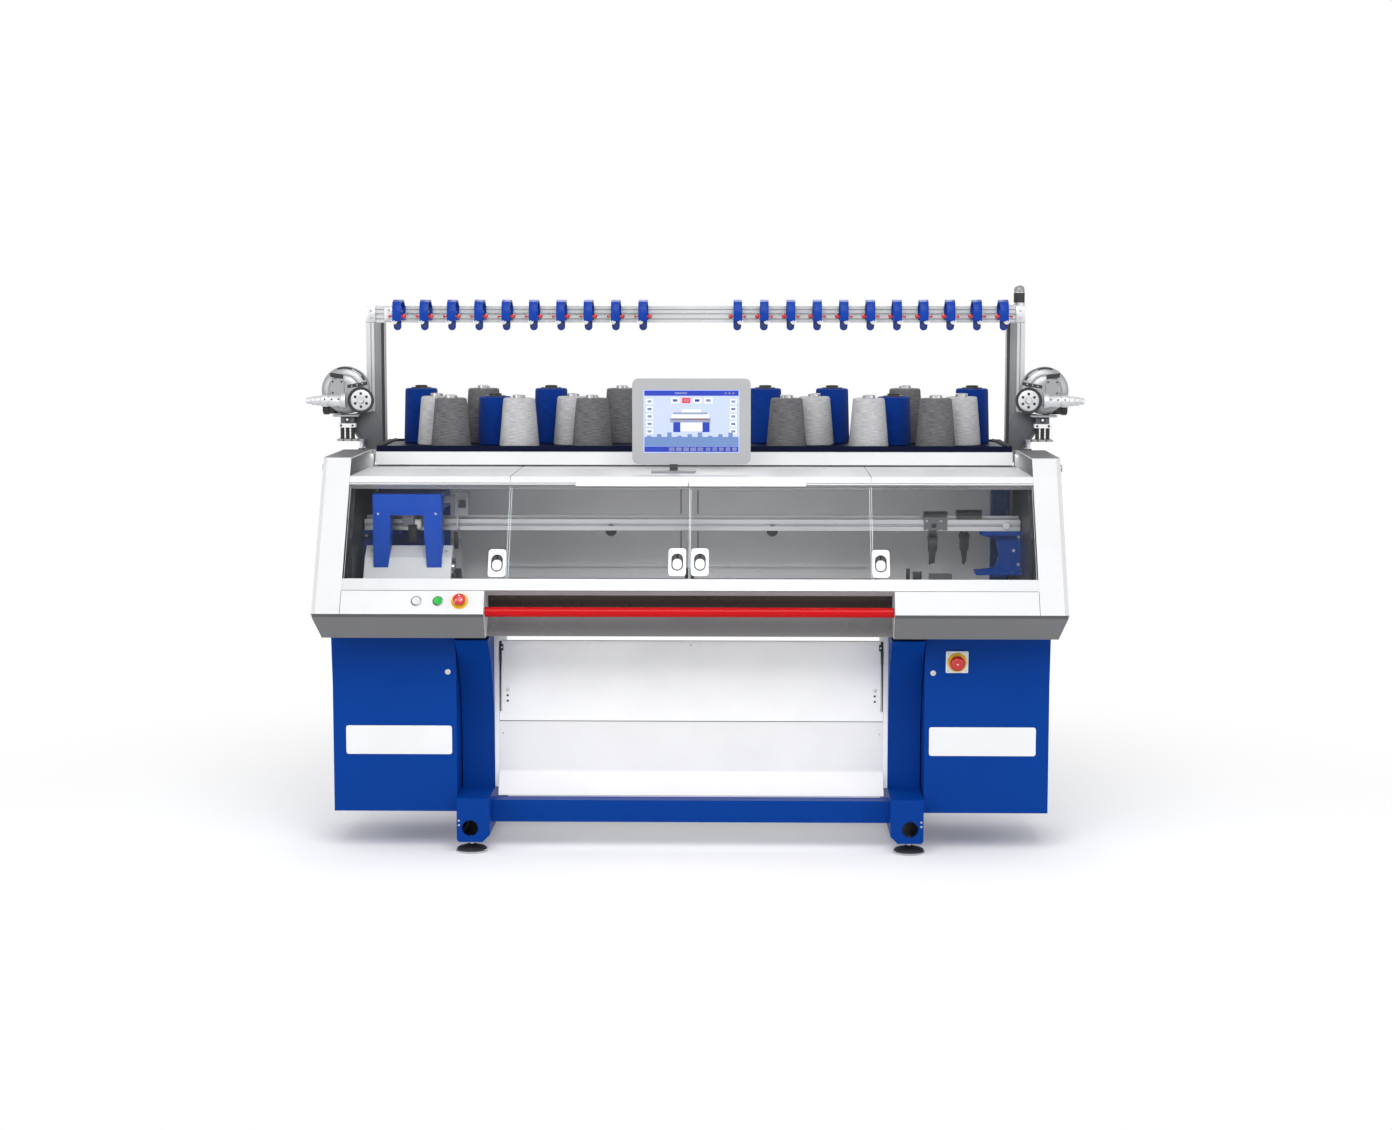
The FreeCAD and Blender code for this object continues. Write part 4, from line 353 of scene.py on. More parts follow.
for side, body in ((-1, "door_left"), (1, "door_right")):
    fittings = bmesh.new()
    rounded_plate(fittings, 381, 104, 1.7, 9, facing_front(side * DOOR_PLATE_X, 66.9, 403), 0.5)
    turned(fittings, LOCK, at(side * DOOR_LOCK_X, 61.4, 651), DOOR_OUT, 1, 20)
    piece(body.replace("door", "door_fittings"), fittings, (white_paint, steel), body)

# The take-down space between the legs: two light grey side plates, a white chute panel and, above
# it, the white panel that folds forward on its lower edge. Socket screws hold the panels.
PANEL_FACE = 218.9
PANEL_WING = ((697.6, 484), (697.6, 741), (688, 741), (694.5, 484))
# Painted light: the side plates and the upper panel take a whiter paint than the chute to lift the shade the
# housing casts on them, and the chute a greyer one against the light on its lower slope.
shade_lifted_white = finish("shade_lifted_white", powder_coat, (0.95, 0.95, 0.955), 0.30, 0.15, specular=0.3)
chute_white = finish("chute_white", powder_coat, (0.84, 0.84, 0.845), 0.30, 0.15, specular=0.3)
coat_nodes(shade_lifted_white, "takedown_side_plates", "upper_panel")
coat_nodes(chute_white, "lower_panel")
coat_nodes(black_rubber, "takedown_roller")
coat_nodes(steel, "press_roller")


def block(bm, x, y, z, edge=0, index=0, steps=2):
    """A cuboid between two places along each axis, in millimetres."""
    low = at(min(x), min(y), min(z))
    high = at(max(x), max(y), max(z))
    made = bmesh.ops.create_cube(bm, size=1, matrix=Matrix.Translation((low + high) / 2)
                                 @ Matrix.Diagonal((*(high - low), 1)))["verts"]
    painted_with(made, index)
    if edge:
        soften(bm, made, edge, steps)


def plate(bm, corners, depth, edge=0, index=0, steps=2):
    """A flat outline of places, thickened by one vector."""
    face = bm.faces.new([bm.verts.new(corner) for corner in corners])
    made = bmesh.ops.extrude_face_region(bm, geom=[face])["geom"]
    moved = [item for item in made if isinstance(item, bmesh.types.BMVert)]
    bmesh.ops.translate(bm, verts=moved, vec=depth)
    made = linked(moved)
    painted_with(made, index)
    if edge:
        soften(bm, made, edge, steps)


fold = bmesh.new()
for side in (-1, 1):
    plate(fold, [at(side * x, PANEL_FACE, z) for x, z in PANEL_WING], Vector((0, 0.004, 0)), 0, 1)
    block(fold, (side * 682, side * 694), (216.4, 219.2), (706, 730), 1, 1)
    screw(fold, at(side * 688, 216.5, 718), FRONT, 3.4, 2)
    for height, radius, paint in ((561, 7, 2), (541, 4.2, 1), (521, 4.2, 1)):
        screw(fold, at(side * 668, PANEL_FACE, height), FRONT, radius, paint, 1.4)
block(fold, (-472, 450), (218.4, 219.2), (735.4, 738.4), 0.3, 0, 1)
block(fold, (-698, 698), (218.6, 219.4), (446, 448.4), 0.2, 1, 1)
screw(fold, at(0, PANEL_FACE, 728), FRONT, 3.2, 2, 1.4)
piece("upper_panel_fittings", fold, (shade_lifted_white, black_plastic, steel), "upper_panel")
chute = bmesh.new()
for side in (-1, 1):
    screw(chute, at(side * 686, PANEL_FACE, 401), FRONT, 3.6, 0, 1.6)
piece("chute_screws", chute, (steel,), "frame")

# The beds: ground steel needle beds on painted castings, with the guide rails of the carriage
# below them. Each bed is milled across with a slot for every needle.
needle_slots = skin_group("needle_slots", (420, 1, 1), 1, 0.10, 0.0004)
bed_steel = finish("bed_steel", needle_slots, (0.40, 0.41, 0.43), 0.42, 0.6, metallic=0.9)
bed_iron = finish("bed_iron", powder_coat, (0.06, 0.062, 0.068), 0.42, 0.6, specular=0.25)
coat_nodes(bed_steel, "needle_beds", "guide_rails")
coat_nodes(bed_iron, "bed_supports", "cam_boxes")

# The housing: folded sheet, powder coated white. The curved tray in the middle is painted a darker
# silver grey, and so is the top edge of each side cover. The grey on the undercut below the fold is
# painted shade, the dark band just under the fold is a painted shadow line, and the dark reddish top
# of the tray is a painted reflection of the red bar with painted shade under the sill.
HOUSING_WHITE = (0.69, 0.695, 0.705)
UNDERCUT_SHADE_GREY = (0.152, 0.154, 0.160)
FOLD_Z = 0.8812
FOLD_SHADE_Z = 0.871
LEAN = radians(31.2)
OUTWARD = Vector((0, -cos(LEAN), sin(LEAN)))
UPSLOPE = Vector((0, sin(LEAN), cos(LEAN)))


def recolour(made, colour, *tests):
    """Paints the places that pass every test: a coordinate, its axis, a sign and a level in metres."""
    tree = made.node_tree
    where = tree.nodes.new("ShaderNodeTexCoord").outputs
    passed = None
    for source, axis, sign, level in tests:
        value = shader_node(tree, "SeparateXYZ", {0: where[source]}).outputs[axis]
        if axis == "X" and source == "Object":
            value = shader_node(tree, "Math", {0: value}, operation="ABSOLUTE").outputs[0]
        kind = "GREATER_THAN" if sign == ">" else "LESS_THAN"
        test = shader_node(tree, "Math", {0: value, 1: level}, operation=kind).outputs[0]
        if passed is None:
            passed = test
        else:
            passed = shader_node(tree, "Math", {0: passed, 1: test}, operation="MULTIPLY").outputs[0]
    coloured = tree.nodes["skin"].inputs["Colour"]
    before = coloured.links[0].from_socket if coloured.links else tuple(coloured.default_value)
    blend = shader_node(tree, "Mix", {"Factor": passed, "A": before, "B": (*colour, 1)}, data_type="RGBA")
    tree.links.new(blend.outputs["Result"], coloured)


def leaning(x, depth, rise):
    """A place on the leaning front: depth in from its face and rise up the slope from its fold."""
    return at(x, -127, 881) + UPSLOPE * (rise / 1000) - OUTWARD * (depth / 1000)


def on_lean(x, depth, rise):
    """The plane of a plate that lies on the leaning front."""
    turn = Matrix((Vector((1, 0, 0)), UPSLOPE, OUTWARD)).transposed().to_4x4()
    return Matrix.Translation(leaning(x, depth, rise)) @ turn


def front_strip(bm, x, rise, depth, thick, edge=0, index=0):
    """A flat strip on the leaning front, between two widths and two rises."""
    corners = ((x[0], rise[0]), (x[1], rise[0]), (x[1], rise[1]), (x[0], rise[1]))
    plate(bm, [leaning(across, depth, up) for across, up in corners], OUTWARD * (thick / 1000), edge, index, 1)


housing_white = finish("housing_white", powder_coat, HOUSING_WHITE, 0.36, 0.25, specular=0.4)
two_tone_and_shade = finish("housing_two_tone_and_shade", powder_coat, HOUSING_WHITE, 0.36, 0.25, specular=0.4)
# Painted shade: faces below the fold that turn forward or down take a grey that stands in for the shade on the
# undercut.
recolour(two_tone_and_shade, UNDERCUT_SHADE_GREY, ("Object", "Z", "<", FOLD_Z), ("Normal", "Y", "<", -0.25))
recolour(two_tone_and_shade, UNDERCUT_SHADE_GREY, ("Object", "Z", "<", FOLD_Z), ("Normal", "Z", "<", -0.5))
# Painted shadow: a darker band just under the fold.
recolour(two_tone_and_shade, (0.085, 0.086, 0.09),
         ("Object", "Z", "<", FOLD_Z), ("Object", "Z", ">", FOLD_SHADE_Z), ("Normal", "Y", "<", -0.25))
recolour(two_tone_and_shade, (0.10, 0.10, 0.11), ("Normal", "Z", ">", 0.7), ("Object", "Z", ">", 1.36))
tray_grey = finish("tray_grey", powder_coat, (0.20, 0.20, 0.205), 0.22, 0.1, specular=0.4)
# Painted reflection and shade: the upper part of the tray, behind the red bar and under the sill, is a dark
# reddish grey for the bar's reflection and the shade there.
recolour(tray_grey, (0.035, 0.024, 0.022), ("Object", "Z", ">", 0.884))
apron_white = finish("apron_white", powder_coat, (0.82, 0.825, 0.83), 0.36, 0.25, specular=0.3)
posts = finish("posts", powder_coat, (0.002, 0.040, 0.24), 0.34, specular=0.15)
recolour(posts, (0.022, 0.023, 0.025), ("Object", "X", ">", 1.2))
# Painted light: the grey back panel takes a near-white paint to lift the dim light inside the housing.
back_shade_lifted = finish("back_shade_lifted", powder_coat, (0.97, 0.97, 0.97), 0.32, 0.2, specular=0.3)
coat_nodes(two_tone_and_shade, "fascia_left", "fascia_right", "side_cover_left", "side_cover_right")
coat_nodes(tray_grey, "recess_tray")
coat_nodes(housing_white, "roof_panels", "rear_cover")
coat_nodes(apron_white, "apron")
coat_nodes(posts, "end_frames")
coat_nodes(blue_paint, "rail_brackets")
coat_nodes(back_shade_lifted, "back_panel")

seams = bmesh.new()
for side in (-1, 1):
    for near, far in ((717.2, 718.8), (1222.2, 1223.8)):
        front_strip(seams, (side * near, side * far), (2, 92), -0.25, -1)
    front_strip(seams, (side * 719, side * 1324), (0.2, 2.2), -0.25, -1)
    block(seams, (side * 645.4, side * 646.6), (142, 759), (1344.8, 1345.3))
front_strip(seams, (-1222, 1222), (92.4, 94.2), -0.25, -1)
piece("housing_seams", seams, (black_plastic,), "frame")

# The rear cover: a folded sheet held by cap screws along its upper edge, in three lengths like the
# roof. The backs of the cabinets and the take-down side plates are screwed on in the same way.
COVER_SCREWS = 13
COVER_SCREW_PITCH = 198
rear = bmesh.new()
for x in (-646, 646):
    block(rear, (x - 1.2, x + 1.2), (759.6, 760.4), (846, 1338))
for step in range(COVER_SCREWS):
    x = (step - (COVER_SCREWS - 1) / 2) * COVER_SCREW_PITCH
    screw(rear, at(x, 759.8, 1322), (0, 1, 0), 5.5, 1, 2.4)
for side in (-1, 1):
    for x in (862, 1258):
        for z in (170, 465, 762):
            screw(rear, at(side * x, 663.9, z), (0, 1, 0), 5, 1, 2.2)
    for x in (846, 1274):
        block(rear, (side * x - 0.8, side * x + 0.8), (663.8, 664.3), (150, 785))
    for z in (300, 420, 540, 660):
        screw(rear, at(side * 699.9, 520, z), (-side, 0, 0), 4.5, 1, 2)
piece("rear_fastenings", rear, (black_plastic, steel), "frame")

# Inside the housing: pressed joints of the grey back panel, the front lips of the roof, half-round
# stops under the front yarn rail, and small fittings on the bed castings and at the rail ends.
BACK_FACE = 660.4
RAIL_STOP = ((0, 0), (21, 0), (21, 2.4), (19, 3.4), (0, 3.4))
RAIL_CAP = ((0, 0), (15, 0), (15, 7), (12.5, 9), (0, 9))
aluminium = finish("aluminium", machined, (0.66, 0.67, 0.69), 0.34, 0.2, metallic=0.75)
inside_grey = finish("inside_grey", powder_coat, (0.10, 0.105, 0.11), 0.4, specular=0.25)
inside = bmesh.new()
for low, high in ((1166, 1280), (1037, 1113)):
    for x in (-47, 17):
        block(inside, (x - 1.6, x + 1.6), (657.6, BACK_FACE), (low, high), 0.6, 3, 1)
block(inside, (-1100, 1100), (655, BACK_FACE), (1284, 1296), 1, 3, 1)
for ends in ((-410, -10), (-4, 413)):
    front_strip(inside, ends, (503, 528), -0.4, 2.6, 0.6)
for side in (-1, 1):
    turned(inside, RAIL_STOP, at(side * 295, 339.4, 1133.6), FRONT, 2, 28)
block(inside, (-716, 654), (652, BACK_FACE), (962, 969), 0.8, 0, 1)
for x, y, z, edge, paint in (
    ((789, 803), (397, 410), (908, 988), 1.5, 2), ((814, 847), (397, 410), (908, 977), 1.5, 2),
    ((873, 958), (396, 410), (908, 970), 1.5, 3), ((-26, 8), (380, 398), (953, 990), 2, 2),
):
    block(inside, x, y, z, edge, paint)
for side in (-1, 1):
    for x, z in ((1196, 1112), (1196, 1010), (1178, 1061)):
        screw(inside, at(side * x, 349.9, z), FRONT, 6, 1, 2.4)
    turned(inside, RAIL_CAP, at(side * 1150, 334.8, 1154), FRONT, 1, 24)
    block(inside, (side * 1212, side * 1270), (664, 700), (1348, 1392), 2, 1)
    for x in (1230, 1254):
        screw(inside, at(side * x, 682, 1392), (0, 0, 1), 5, 3, 2)
piece("inside_fittings", inside, (white_paint, aluminium, black_plastic, inside_grey), "frame")

# The sill, the window tracks and the operating bar: anodised sections, and a steel tube painted
# glossy red that the knitter lifts or presses to run the machine.
red_paint = finish("red_paint", powder_coat, (0.52, 0.003, 0.005), 0.10, 0.05, specular=0.13)
sill_metal = finish("sill_metal", machined, (0.55, 0.555, 0.57), 0.34, 0.2, metallic=0.25)
coat_nodes(sill_metal, "sill", "upper_track")
coat_nodes(red_paint, "operating_bar")

# The sliding windows: clear acrylic sheets with polished edges in the upper and lower tracks, each
# with a white moulded grip plate that has an oval finger recess. A pale strip along each side edge of
# a sheet is a painted highlight, and the recess is painted black as shade.
OUTER_DEPTH = 21.3
INNER_DEPTH = 10.3
PANE_RISE = (131.1, 523)
GLINT_RISE = (132, 522)
GRIP_RISE = 208
GRIP_INSET_LEFT, GRIP_INSET_RIGHT = 42, 35
GRIP_CORNER = Vector((0.019, 0.042))
CUP_RADIUS = 0.0205
CUP_CENTRE = 0.013
clear_sheet = bpy.data.materials.new("clear_sheet")
clear_sheet.use_nodes = True
tree = clear_sheet.node_tree
own = tree.nodes.new("ShaderNodeTexCoord")
cloud = shader_node(tree, "TexNoise", {"Vector": own.outputs["Object"], "Scale": 4})
haze = shader_node(tree, "MapRange", {"Value": cloud.outputs["Fac"], "To Min": 0.004, "To Max": 0.022})
set_sockets(tree.nodes["Principled BSDF"], {
    "Base Color": (0.60, 0.66, 0.68, 1), "Roughness": 0.03, "Specular IOR Level": 0.35,
    "Alpha": haze.outputs["Result"]})
edge_glint = finish("edge_glint", moulded, (0.70, 0.76, 0.78), 0.15, 0.05)
grip_white = finish("grip_white", moulded, (0.78, 0.78, 0.79), 0.28, 0.1, coat=0.2)


def grip(bm, place):
    """A white plate with an oval cup sunk into it, painted black as shade, and a white tongue in the lower part
    of the cup.
    """
    made = rounded_plate(bm, 62, 108, 4, 12, Matrix.Identity(4), 0, 2)
    front = max((face for vert in made for face in vert.link_faces),
                key=lambda face: face.calc_center_median().z)
    bmesh.ops.inset_region(bm, faces=[front], thickness=0.001)
    for vert in front.verts:
        x, y, z = vert.co
        corner = Vector((copysign(GRIP_CORNER.x, x), copysign(GRIP_CORNER.y, y), z))
        vert.co = Vector((0, copysign(CUP_CENTRE, y), z)) + (vert.co - corner).normalized() * CUP_RADIUS
    # Painted shade: the walls and floor of the cup are black plastic, standing in for the shade in the recess.
    for face in bmesh.ops.inset_region(bm, faces=[front], thickness=0.0022, depth=-0.0028)["faces"]:
        face.material_index = 3
    front.material_index = 3
    bmesh.ops.transform(bm, matrix=place, verts=linked(front.verts))
    rounded_plate(bm, 33, 42, 2.2, 16, place @ Matrix.Translation((0, -0.0072, 0.0011)), 0.8, 2)


for name, side, inner, outer, depth in (
    ("window_outer_left", -1, 639, 1221, OUTER_DEPTH), ("window_inner_left", -1, 1.5, 647, INNER_DEPTH),
    ("window_inner_right", 1, 1.5, 647, INNER_DEPTH), ("window_outer_right", 1, 639, 1221, OUTER_DEPTH),
):
    pane = bmesh.new()
    front_strip(pane, (side * inner, side * outer), PANE_RISE, depth, -5.3, 0.6)
    # Painted highlight: a pale strip along each side edge stands in for the glint on the polished edge.
    for edge in (inner, outer - 1.6):
        front_strip(pane, (side * edge, side * (edge + 1.6)), GLINT_RISE, depth - 0.1, -0.3, 0, 1)
    inset = GRIP_INSET_LEFT if side < 0 else GRIP_INSET_RIGHT
    grip(pane, on_lean(side * (inner + inset), depth, GRIP_RISE))
    piece(name + "_pane", pane, (clear_sheet, edge_glint, grip_white, black_plastic), name,
          (name,))

# The push buttons: chromed bezels, a white and a green cap, and a red stop mushroom on a yellow
# ring. They sit square to the leaning face of the left fascia.
BUTTON_RISE = 52
WHITE_X, GREEN_X, STOP_X = -956, -880, -804
BEZEL_RADIUS = 19
STOP_RING_RADIUS = 30
CAP = ((0, -26), (11, -26), (12, 0), (14.8, 0.4), (14.8, 4.4), (13.8, 5.6), (11, 6), (9, 5.6), (0, 5.2))
STOP = ((0, -6), (12, -6), (12, 9.6), (20, 12), (21.8, 14), (22, 17), (20.6, 21), (16, 23.8), (9, 25),
        (0, 25.2))
chrome = finish("chrome", moulded, (0.30, 0.30, 0.31), 0.16, 0.05, metallic=1)
button_white = finish("button_white", moulded, (0.62, 0.62, 0.63), 0.24, 0.1)
yellow = finish("yellow_plastic", moulded, (0.78, 0.48, 0.01), 0.32, 0.1)
red_plastic = finish("red_plastic", moulded, (0.55, 0.008, 0.01), 0.22, 0.1, coat=0.4)
green_plastic = finish("green_plastic", moulded, (0.0, 0.42, 0.045), 0.24, 0.1, specular=0.3)
bezels = bmesh.new()
for x, radius, paint in ((WHITE_X, BEZEL_RADIUS, 0), (GREEN_X, BEZEL_RADIUS, 0), (STOP_X, STOP_RING_RADIUS, 1)):
    turned(bezels, ((radius - 3.6, 0), (radius, 0), (radius, 1.6), (radius - 0.9, 3), (radius - 2.4, 3.4),
                    (radius - 3.6, 2.6), (radius - 3.6, 0)), leaning(x, 0.2, BUTTON_RISE), OUTWARD, paint)
turned(bezels, ((12.6, 0), (26.4, 0), (26.4, 1.8), (12.6, 1.8), (12.6, 0)),
       leaning(STOP_X, 0.2, BUTTON_RISE), OUTWARD, 1)
piece("button_rims", bezels, (chrome, yellow), "frame", ("button_bezels",))
for name, x, paint in (("white_button", WHITE_X, button_white), ("green_button", GREEN_X, green_plastic)):
    cap = bmesh.new()
    turned(cap, CAP, leaning(x, 0, BUTTON_RISE), OUTWARD, 0, 36)
    piece(name + "_cap", cap, (paint,), name, (name,))
stop = bmesh.new()
turned(stop, STOP, leaning(STOP_X, 0, BUTTON_RISE), OUTWARD, 0, 40)
for turn in (90, 210, 330):
    spot = leaning(STOP_X + 11 * cos(radians(turn)), -24.2, BUTTON_RISE + 11 * sin(radians(turn)))
    turned(stop, ((0, 0), (2.6, 0), (2.2, 0.8), (0, 0.9)), spot, OUTWARD, 1, 12)
piece("stop_mushroom", stop, (red_plastic, grip_white), "stop_button", ("stop_button",))

# The main switch: a light grey plate with four screws on the leaning part of the right door, a
# yellow ring, and a red mushroom that turns. It is moulded from glossy plastic.
SWITCH = at(951, 56.4, 693)
SWITCH_SCREW = 0.032
SWITCH_RING = ((13, 6.2), (34, 6.2), (34, 12.4), (32.6, 14.2), (13, 14.2), (13, 6.2))
SWITCH_KNOB = ((0, 0), (12, 0), (12, 19.3), (24.3, 19.3), (26.6, 22), (27, 25), (25.6, 30), (21, 35),
               (13, 38.6), (0, 39.2))
on_door = Matrix.Translation(SWITCH) @ Matrix(
    (Vector((1, 0, 0)), Vector((0, -sin(DOOR_LEAN), cos(DOOR_LEAN))), DOOR_OUT)).transposed().to_4x4()
mount = bmesh.new()
rounded_plate(mount, 80, 80, 6, 5, on_door @ Matrix.Translation((0, 0, 0.0003)), 1.2)
turned(mount, SWITCH_RING, SWITCH, DOOR_OUT, 1, 40)
for x in (-SWITCH_SCREW, SWITCH_SCREW):
    for y in (-SWITCH_SCREW, SWITCH_SCREW):
        screw(mount, on_door @ Vector((x, y, 0.0063)), DOOR_OUT, 3.4, 2, 1.4)
piece("switch_mount", mount, (light_grey_paint, yellow, steel), "door_right", ("switch_plate",))
mushroom = bmesh.new()
turned(mushroom, SWITCH_KNOB, SWITCH, DOOR_OUT, 0, 40)
turned(mushroom, ((0, 39), (3, 39), (2.4, 40), (0, 40.1)), SWITCH, DOOR_OUT, 1, 12)
piece("switch_mushroom", mushroom, (red_plastic, grip_white), "switch_knob", ("switch_knob",))

# The carriage: a folded blue bridge over the yarn rails, standing on light grey covers, with a
# sensor box and a black brush at its leading side.
COVER_SIDE = -865.2
hood_blue = finish("hood_blue", powder_coat, (0.003, 0.058, 0.40), 0.32, specular=0.10)
cover_grey = finish("cover_grey", powder_coat, (0.56, 0.575, 0.59), 0.36, 0.2)
sensor_grey = finish("sensor_grey", powder_coat, (0.26, 0.27, 0.28), 0.38, specular=0.3)
coat_nodes(hood_blue, "carriage_hood")
coat_nodes(cover_grey, "cam_covers")
coat_nodes(sensor_grey, "carriage_sensor")
trims = bmesh.new()
for x, y, z, edge, paint in (
    ((-867, -853), (298, 314), (1068, 1134), 2, 0), ((-858.5, -853.5), (301, 311), (1128, 1193), 0.8, 1),
    ((-1030, -1012), (299, 313), (1180, 1275), 1.5, 2), ((-1056, -1014), (292, 314), (1150, 1196), 2.5, 2),
    ((-1034, -1002), (290, 315), (1092, 1158), 2.5, 0), ((-1012, -984), (296, 314), (1140, 1180), 2, 1),
    ((-1075, -970), (300, 312), (1196, 1203), 1, 0), ((COVER_SIDE, -856), (212, 244), (1000, 1042), 2, 0),
    ((COVER_SIDE, -850), (188, 220), (962, 990), 3, 0),
):
    block(trims, x, y, z, edge, paint)
turned(trims, ((0, 0), (13, 0), (13, 8), (10.5, 10), (0, 10)), at(-864.8, 212, 1012), (1, 0, 0), 1, 24)
for x in (-1158, -886):
    screw(trims, at(x, 222, 1066.6), (0, -0.569, 0.823), 4.4, 1, 2)
for x in (-1126, -918):
    screw(trims, at(x, 171.8, 1208), FRONT, 4.4, 1, 2)
block(trims, (-846, -820), (266, 270.2), (1222, 1250), 1.5, 0)
piece("carriage_trims", trims, (black_plastic, steel, cover_grey), "carriage")

# The yarn carriers and their rails: two grooved ground rails, and carriers with a grey body, dark
# caps over the rail and a black yarn foot that reaches down to the beds.
CARRIER_EYE = ((0, 0), (9, 0), (9, 1.6), (7.5, 2.2), (0, 2.2))
YARN_FOOT = ((-20, 1119), (20, 1119), (20, 1104), (17, 1100), (17, 1062), (11, 1056), (8, 1016), (-8, 1016),
             (-11, 1056), (-17, 1062), (-17, 1100), (-20, 1108))
rail_steel = finish("rail_steel", machined, (0.56, 0.57, 0.59), 0.26, 0.2, metallic=0.8)
carrier_grey = finish("carrier_grey", machined, (0.15, 0.153, 0.16), 0.36, 0.2, specular=0.3)
recolour(carrier_grey, (0.03, 0.031, 0.034), ("Object", "Z", ">", 1.186))
recolour(carrier_grey, (0.022, 0.023, 0.025), ("Object", "Z", "<", 1.121))
carrier_black = finish("carrier_black", moulded, (0.035, 0.036, 0.038), 0.38, specular=0.3)
coat_nodes(rail_steel, "carrier_rails")
coat_nodes(carrier_grey, "carrier_a", "carrier_b")
for name, middle, front, spread, foot_x in (
    ("carrier_a", 884, 318.8, 26, 880), ("carrier_b", 1046, 376.8, 9, 1000),
):
    fitted = bmesh.new()
    for x in (middle - spread, middle + spread):
        for z in (1172, 1138):
            screw(fitted, at(x, front + 0.2, z), FRONT, 4, 1, 2.2)
    turned(fitted, CARRIER_EYE, at(middle, front + 0.2, 1155), FRONT, 0, 20)
    plate(fitted, [at(foot_x + x, front + 2.2, z) for x, z in YARN_FOOT], Vector((0, 0.007, 0)), 1.2, 2)
    block(fitted, (foot_x - 12, foot_x + 12), (front + 0.8, front + 4), (1066, 1098), 1.2, 0)
    block(fitted, (foot_x - 14, foot_x + 14), (front + 2.2, front + 9.2), (1110, 1146), 1, 2)
    block(fitted, (foot_x - 17, foot_x + 11), (front + 1.2, front + 6), (1120, 1133), 1.2, 0)
    piece(name + "_fittings", fitted, (black_plastic, steel, carrier_black), name)

# The control screen: a moulded grey housing around a lit panel, on a tilting stand. The page on it
# is generic: a blue head and foot, square keys, and a small plain picture of a machine.
FACE_Y = (300.4, 301.2)
GLASS_Y = (300.9, 302.4)
BACK_Y = 341.8
PAGE_GLOW = 0.55
FIELD, BLUE, BARE, SLATE, KEY, RED, GREY = range(7)
PAGE_COLOURS = (
    ("page_field", (0.375, 0.425, 0.71)), ("page_blue", (0.008, 0.03, 0.30)), ("page_bare", (0.55, 0.62, 0.80)),
    ("page_slate", (0.10, 0.17, 0.34)), ("page_key", (0.60, 0.64, 0.72)), ("page_red", (0.55, 0.03, 0.03)),
    ("page_grey", (0.20, 0.23, 0.30)),
)
PAGE_HEAD = (
    (-171, 1628, 342, 19, BLUE), (-60, 1634, 44, 7, BARE), (120, 1634, 8, 7, KEY), (134, 1634, 8, 7, KEY),
    (148, 1634, 8, 7, KEY), (-171, 1445, 342, 34, SLATE),
)
PICTURE = (
    (-66, 1560, 124, 8, GREY), (-72, 1546, 136, 15, KEY), (-78, 1532, 148, 15, GREY), (-72, 1541, 136, 4, RED),
    (-66, 1496, 26, 36, BLUE), (40, 1496, 26, 36, BLUE), (-40, 1500, 80, 30, KEY), (-34, 1568, 68, 10, KEY),
)
screen_frame = finish("screen_frame", moulded, (0.40, 0.405, 0.415), 0.38, specular=0.3)
coat_nodes(screen_frame, "monitor")
coat_nodes(sensor_grey, "monitor_stand")


def lit(name, colour):
    """A part of the lit page."""
    made = finish(name, moulded, colour, 0.18, 0.02)
    skin = made.node_tree.nodes["skin"].outputs
    set_sockets(made.node_tree.nodes["Principled BSDF"], {
        "Emission Color": skin["Colour"], "Emission Strength": PAGE_GLOW})
    return made


page = bmesh.new()
block(page, (-174.6, 174.6), GLASS_Y, (1420.4, 1649.6), 0.6, FIELD, 1)
tiles = list(PAGE_HEAD)
tiles += [(-162 + step * 37, 1478, 16, 5 + 6 * (step % 3), SLATE) for step in range(9)]
tiles += [(-171, 1424, 342, 20, BLUE)]
for step in range(5):
    tiles += [(-82 + step * 26, 1427, 21, 14, KEY), (52 + step * 24, 1427, 17, 14, KEY)]
for x in (-152, 152):
    for step in range(5):
        tiles += [(x - 12, 1490 + step * 27, 24, 18, KEY),
                  (x - 8, 1494 + step * 27, 16, 10, BLUE if step % 2 else SLATE)]
for step in range(4):
    tiles += [(-74 + step * 40, 1601, 30, 20, RED if step == 1 else KEY),
              (-68 + step * 40, 1606, 18, 10, KEY if step == 1 else BLUE)]
for x, z, width, height, paint in (*tiles, *PICTURE):
    block(page, (x, x + width), FACE_Y, (z, z + height), 0.3, paint, 1)
piece("screen_page", page, [lit(name, colour) for name, colour in PAGE_COLOURS], "monitor")
back_fittings = bmesh.new()
for x in (-147.1, 13.1):
    for z in (1452, 1612):
        screw(back_fittings, at(x, BACK_Y, z), (0, 1, 0), 4.5, 0, 2)
block(back_fittings, (-190, -120), (BACK_Y, 343.4), (1400, 1440), 1, 1)
block(back_fittings, (60, 190), (BACK_Y, 343), (1480, 1640), 1, 1)
for step in range(8):
    block(back_fittings, (66, 184), (342.9, 344.6), (1490 + step * 18, 1498 + step * 18), 0.8, 1, 1)
piece("screen_back_fittings", back_fittings, (steel, screen_frame), "monitor")

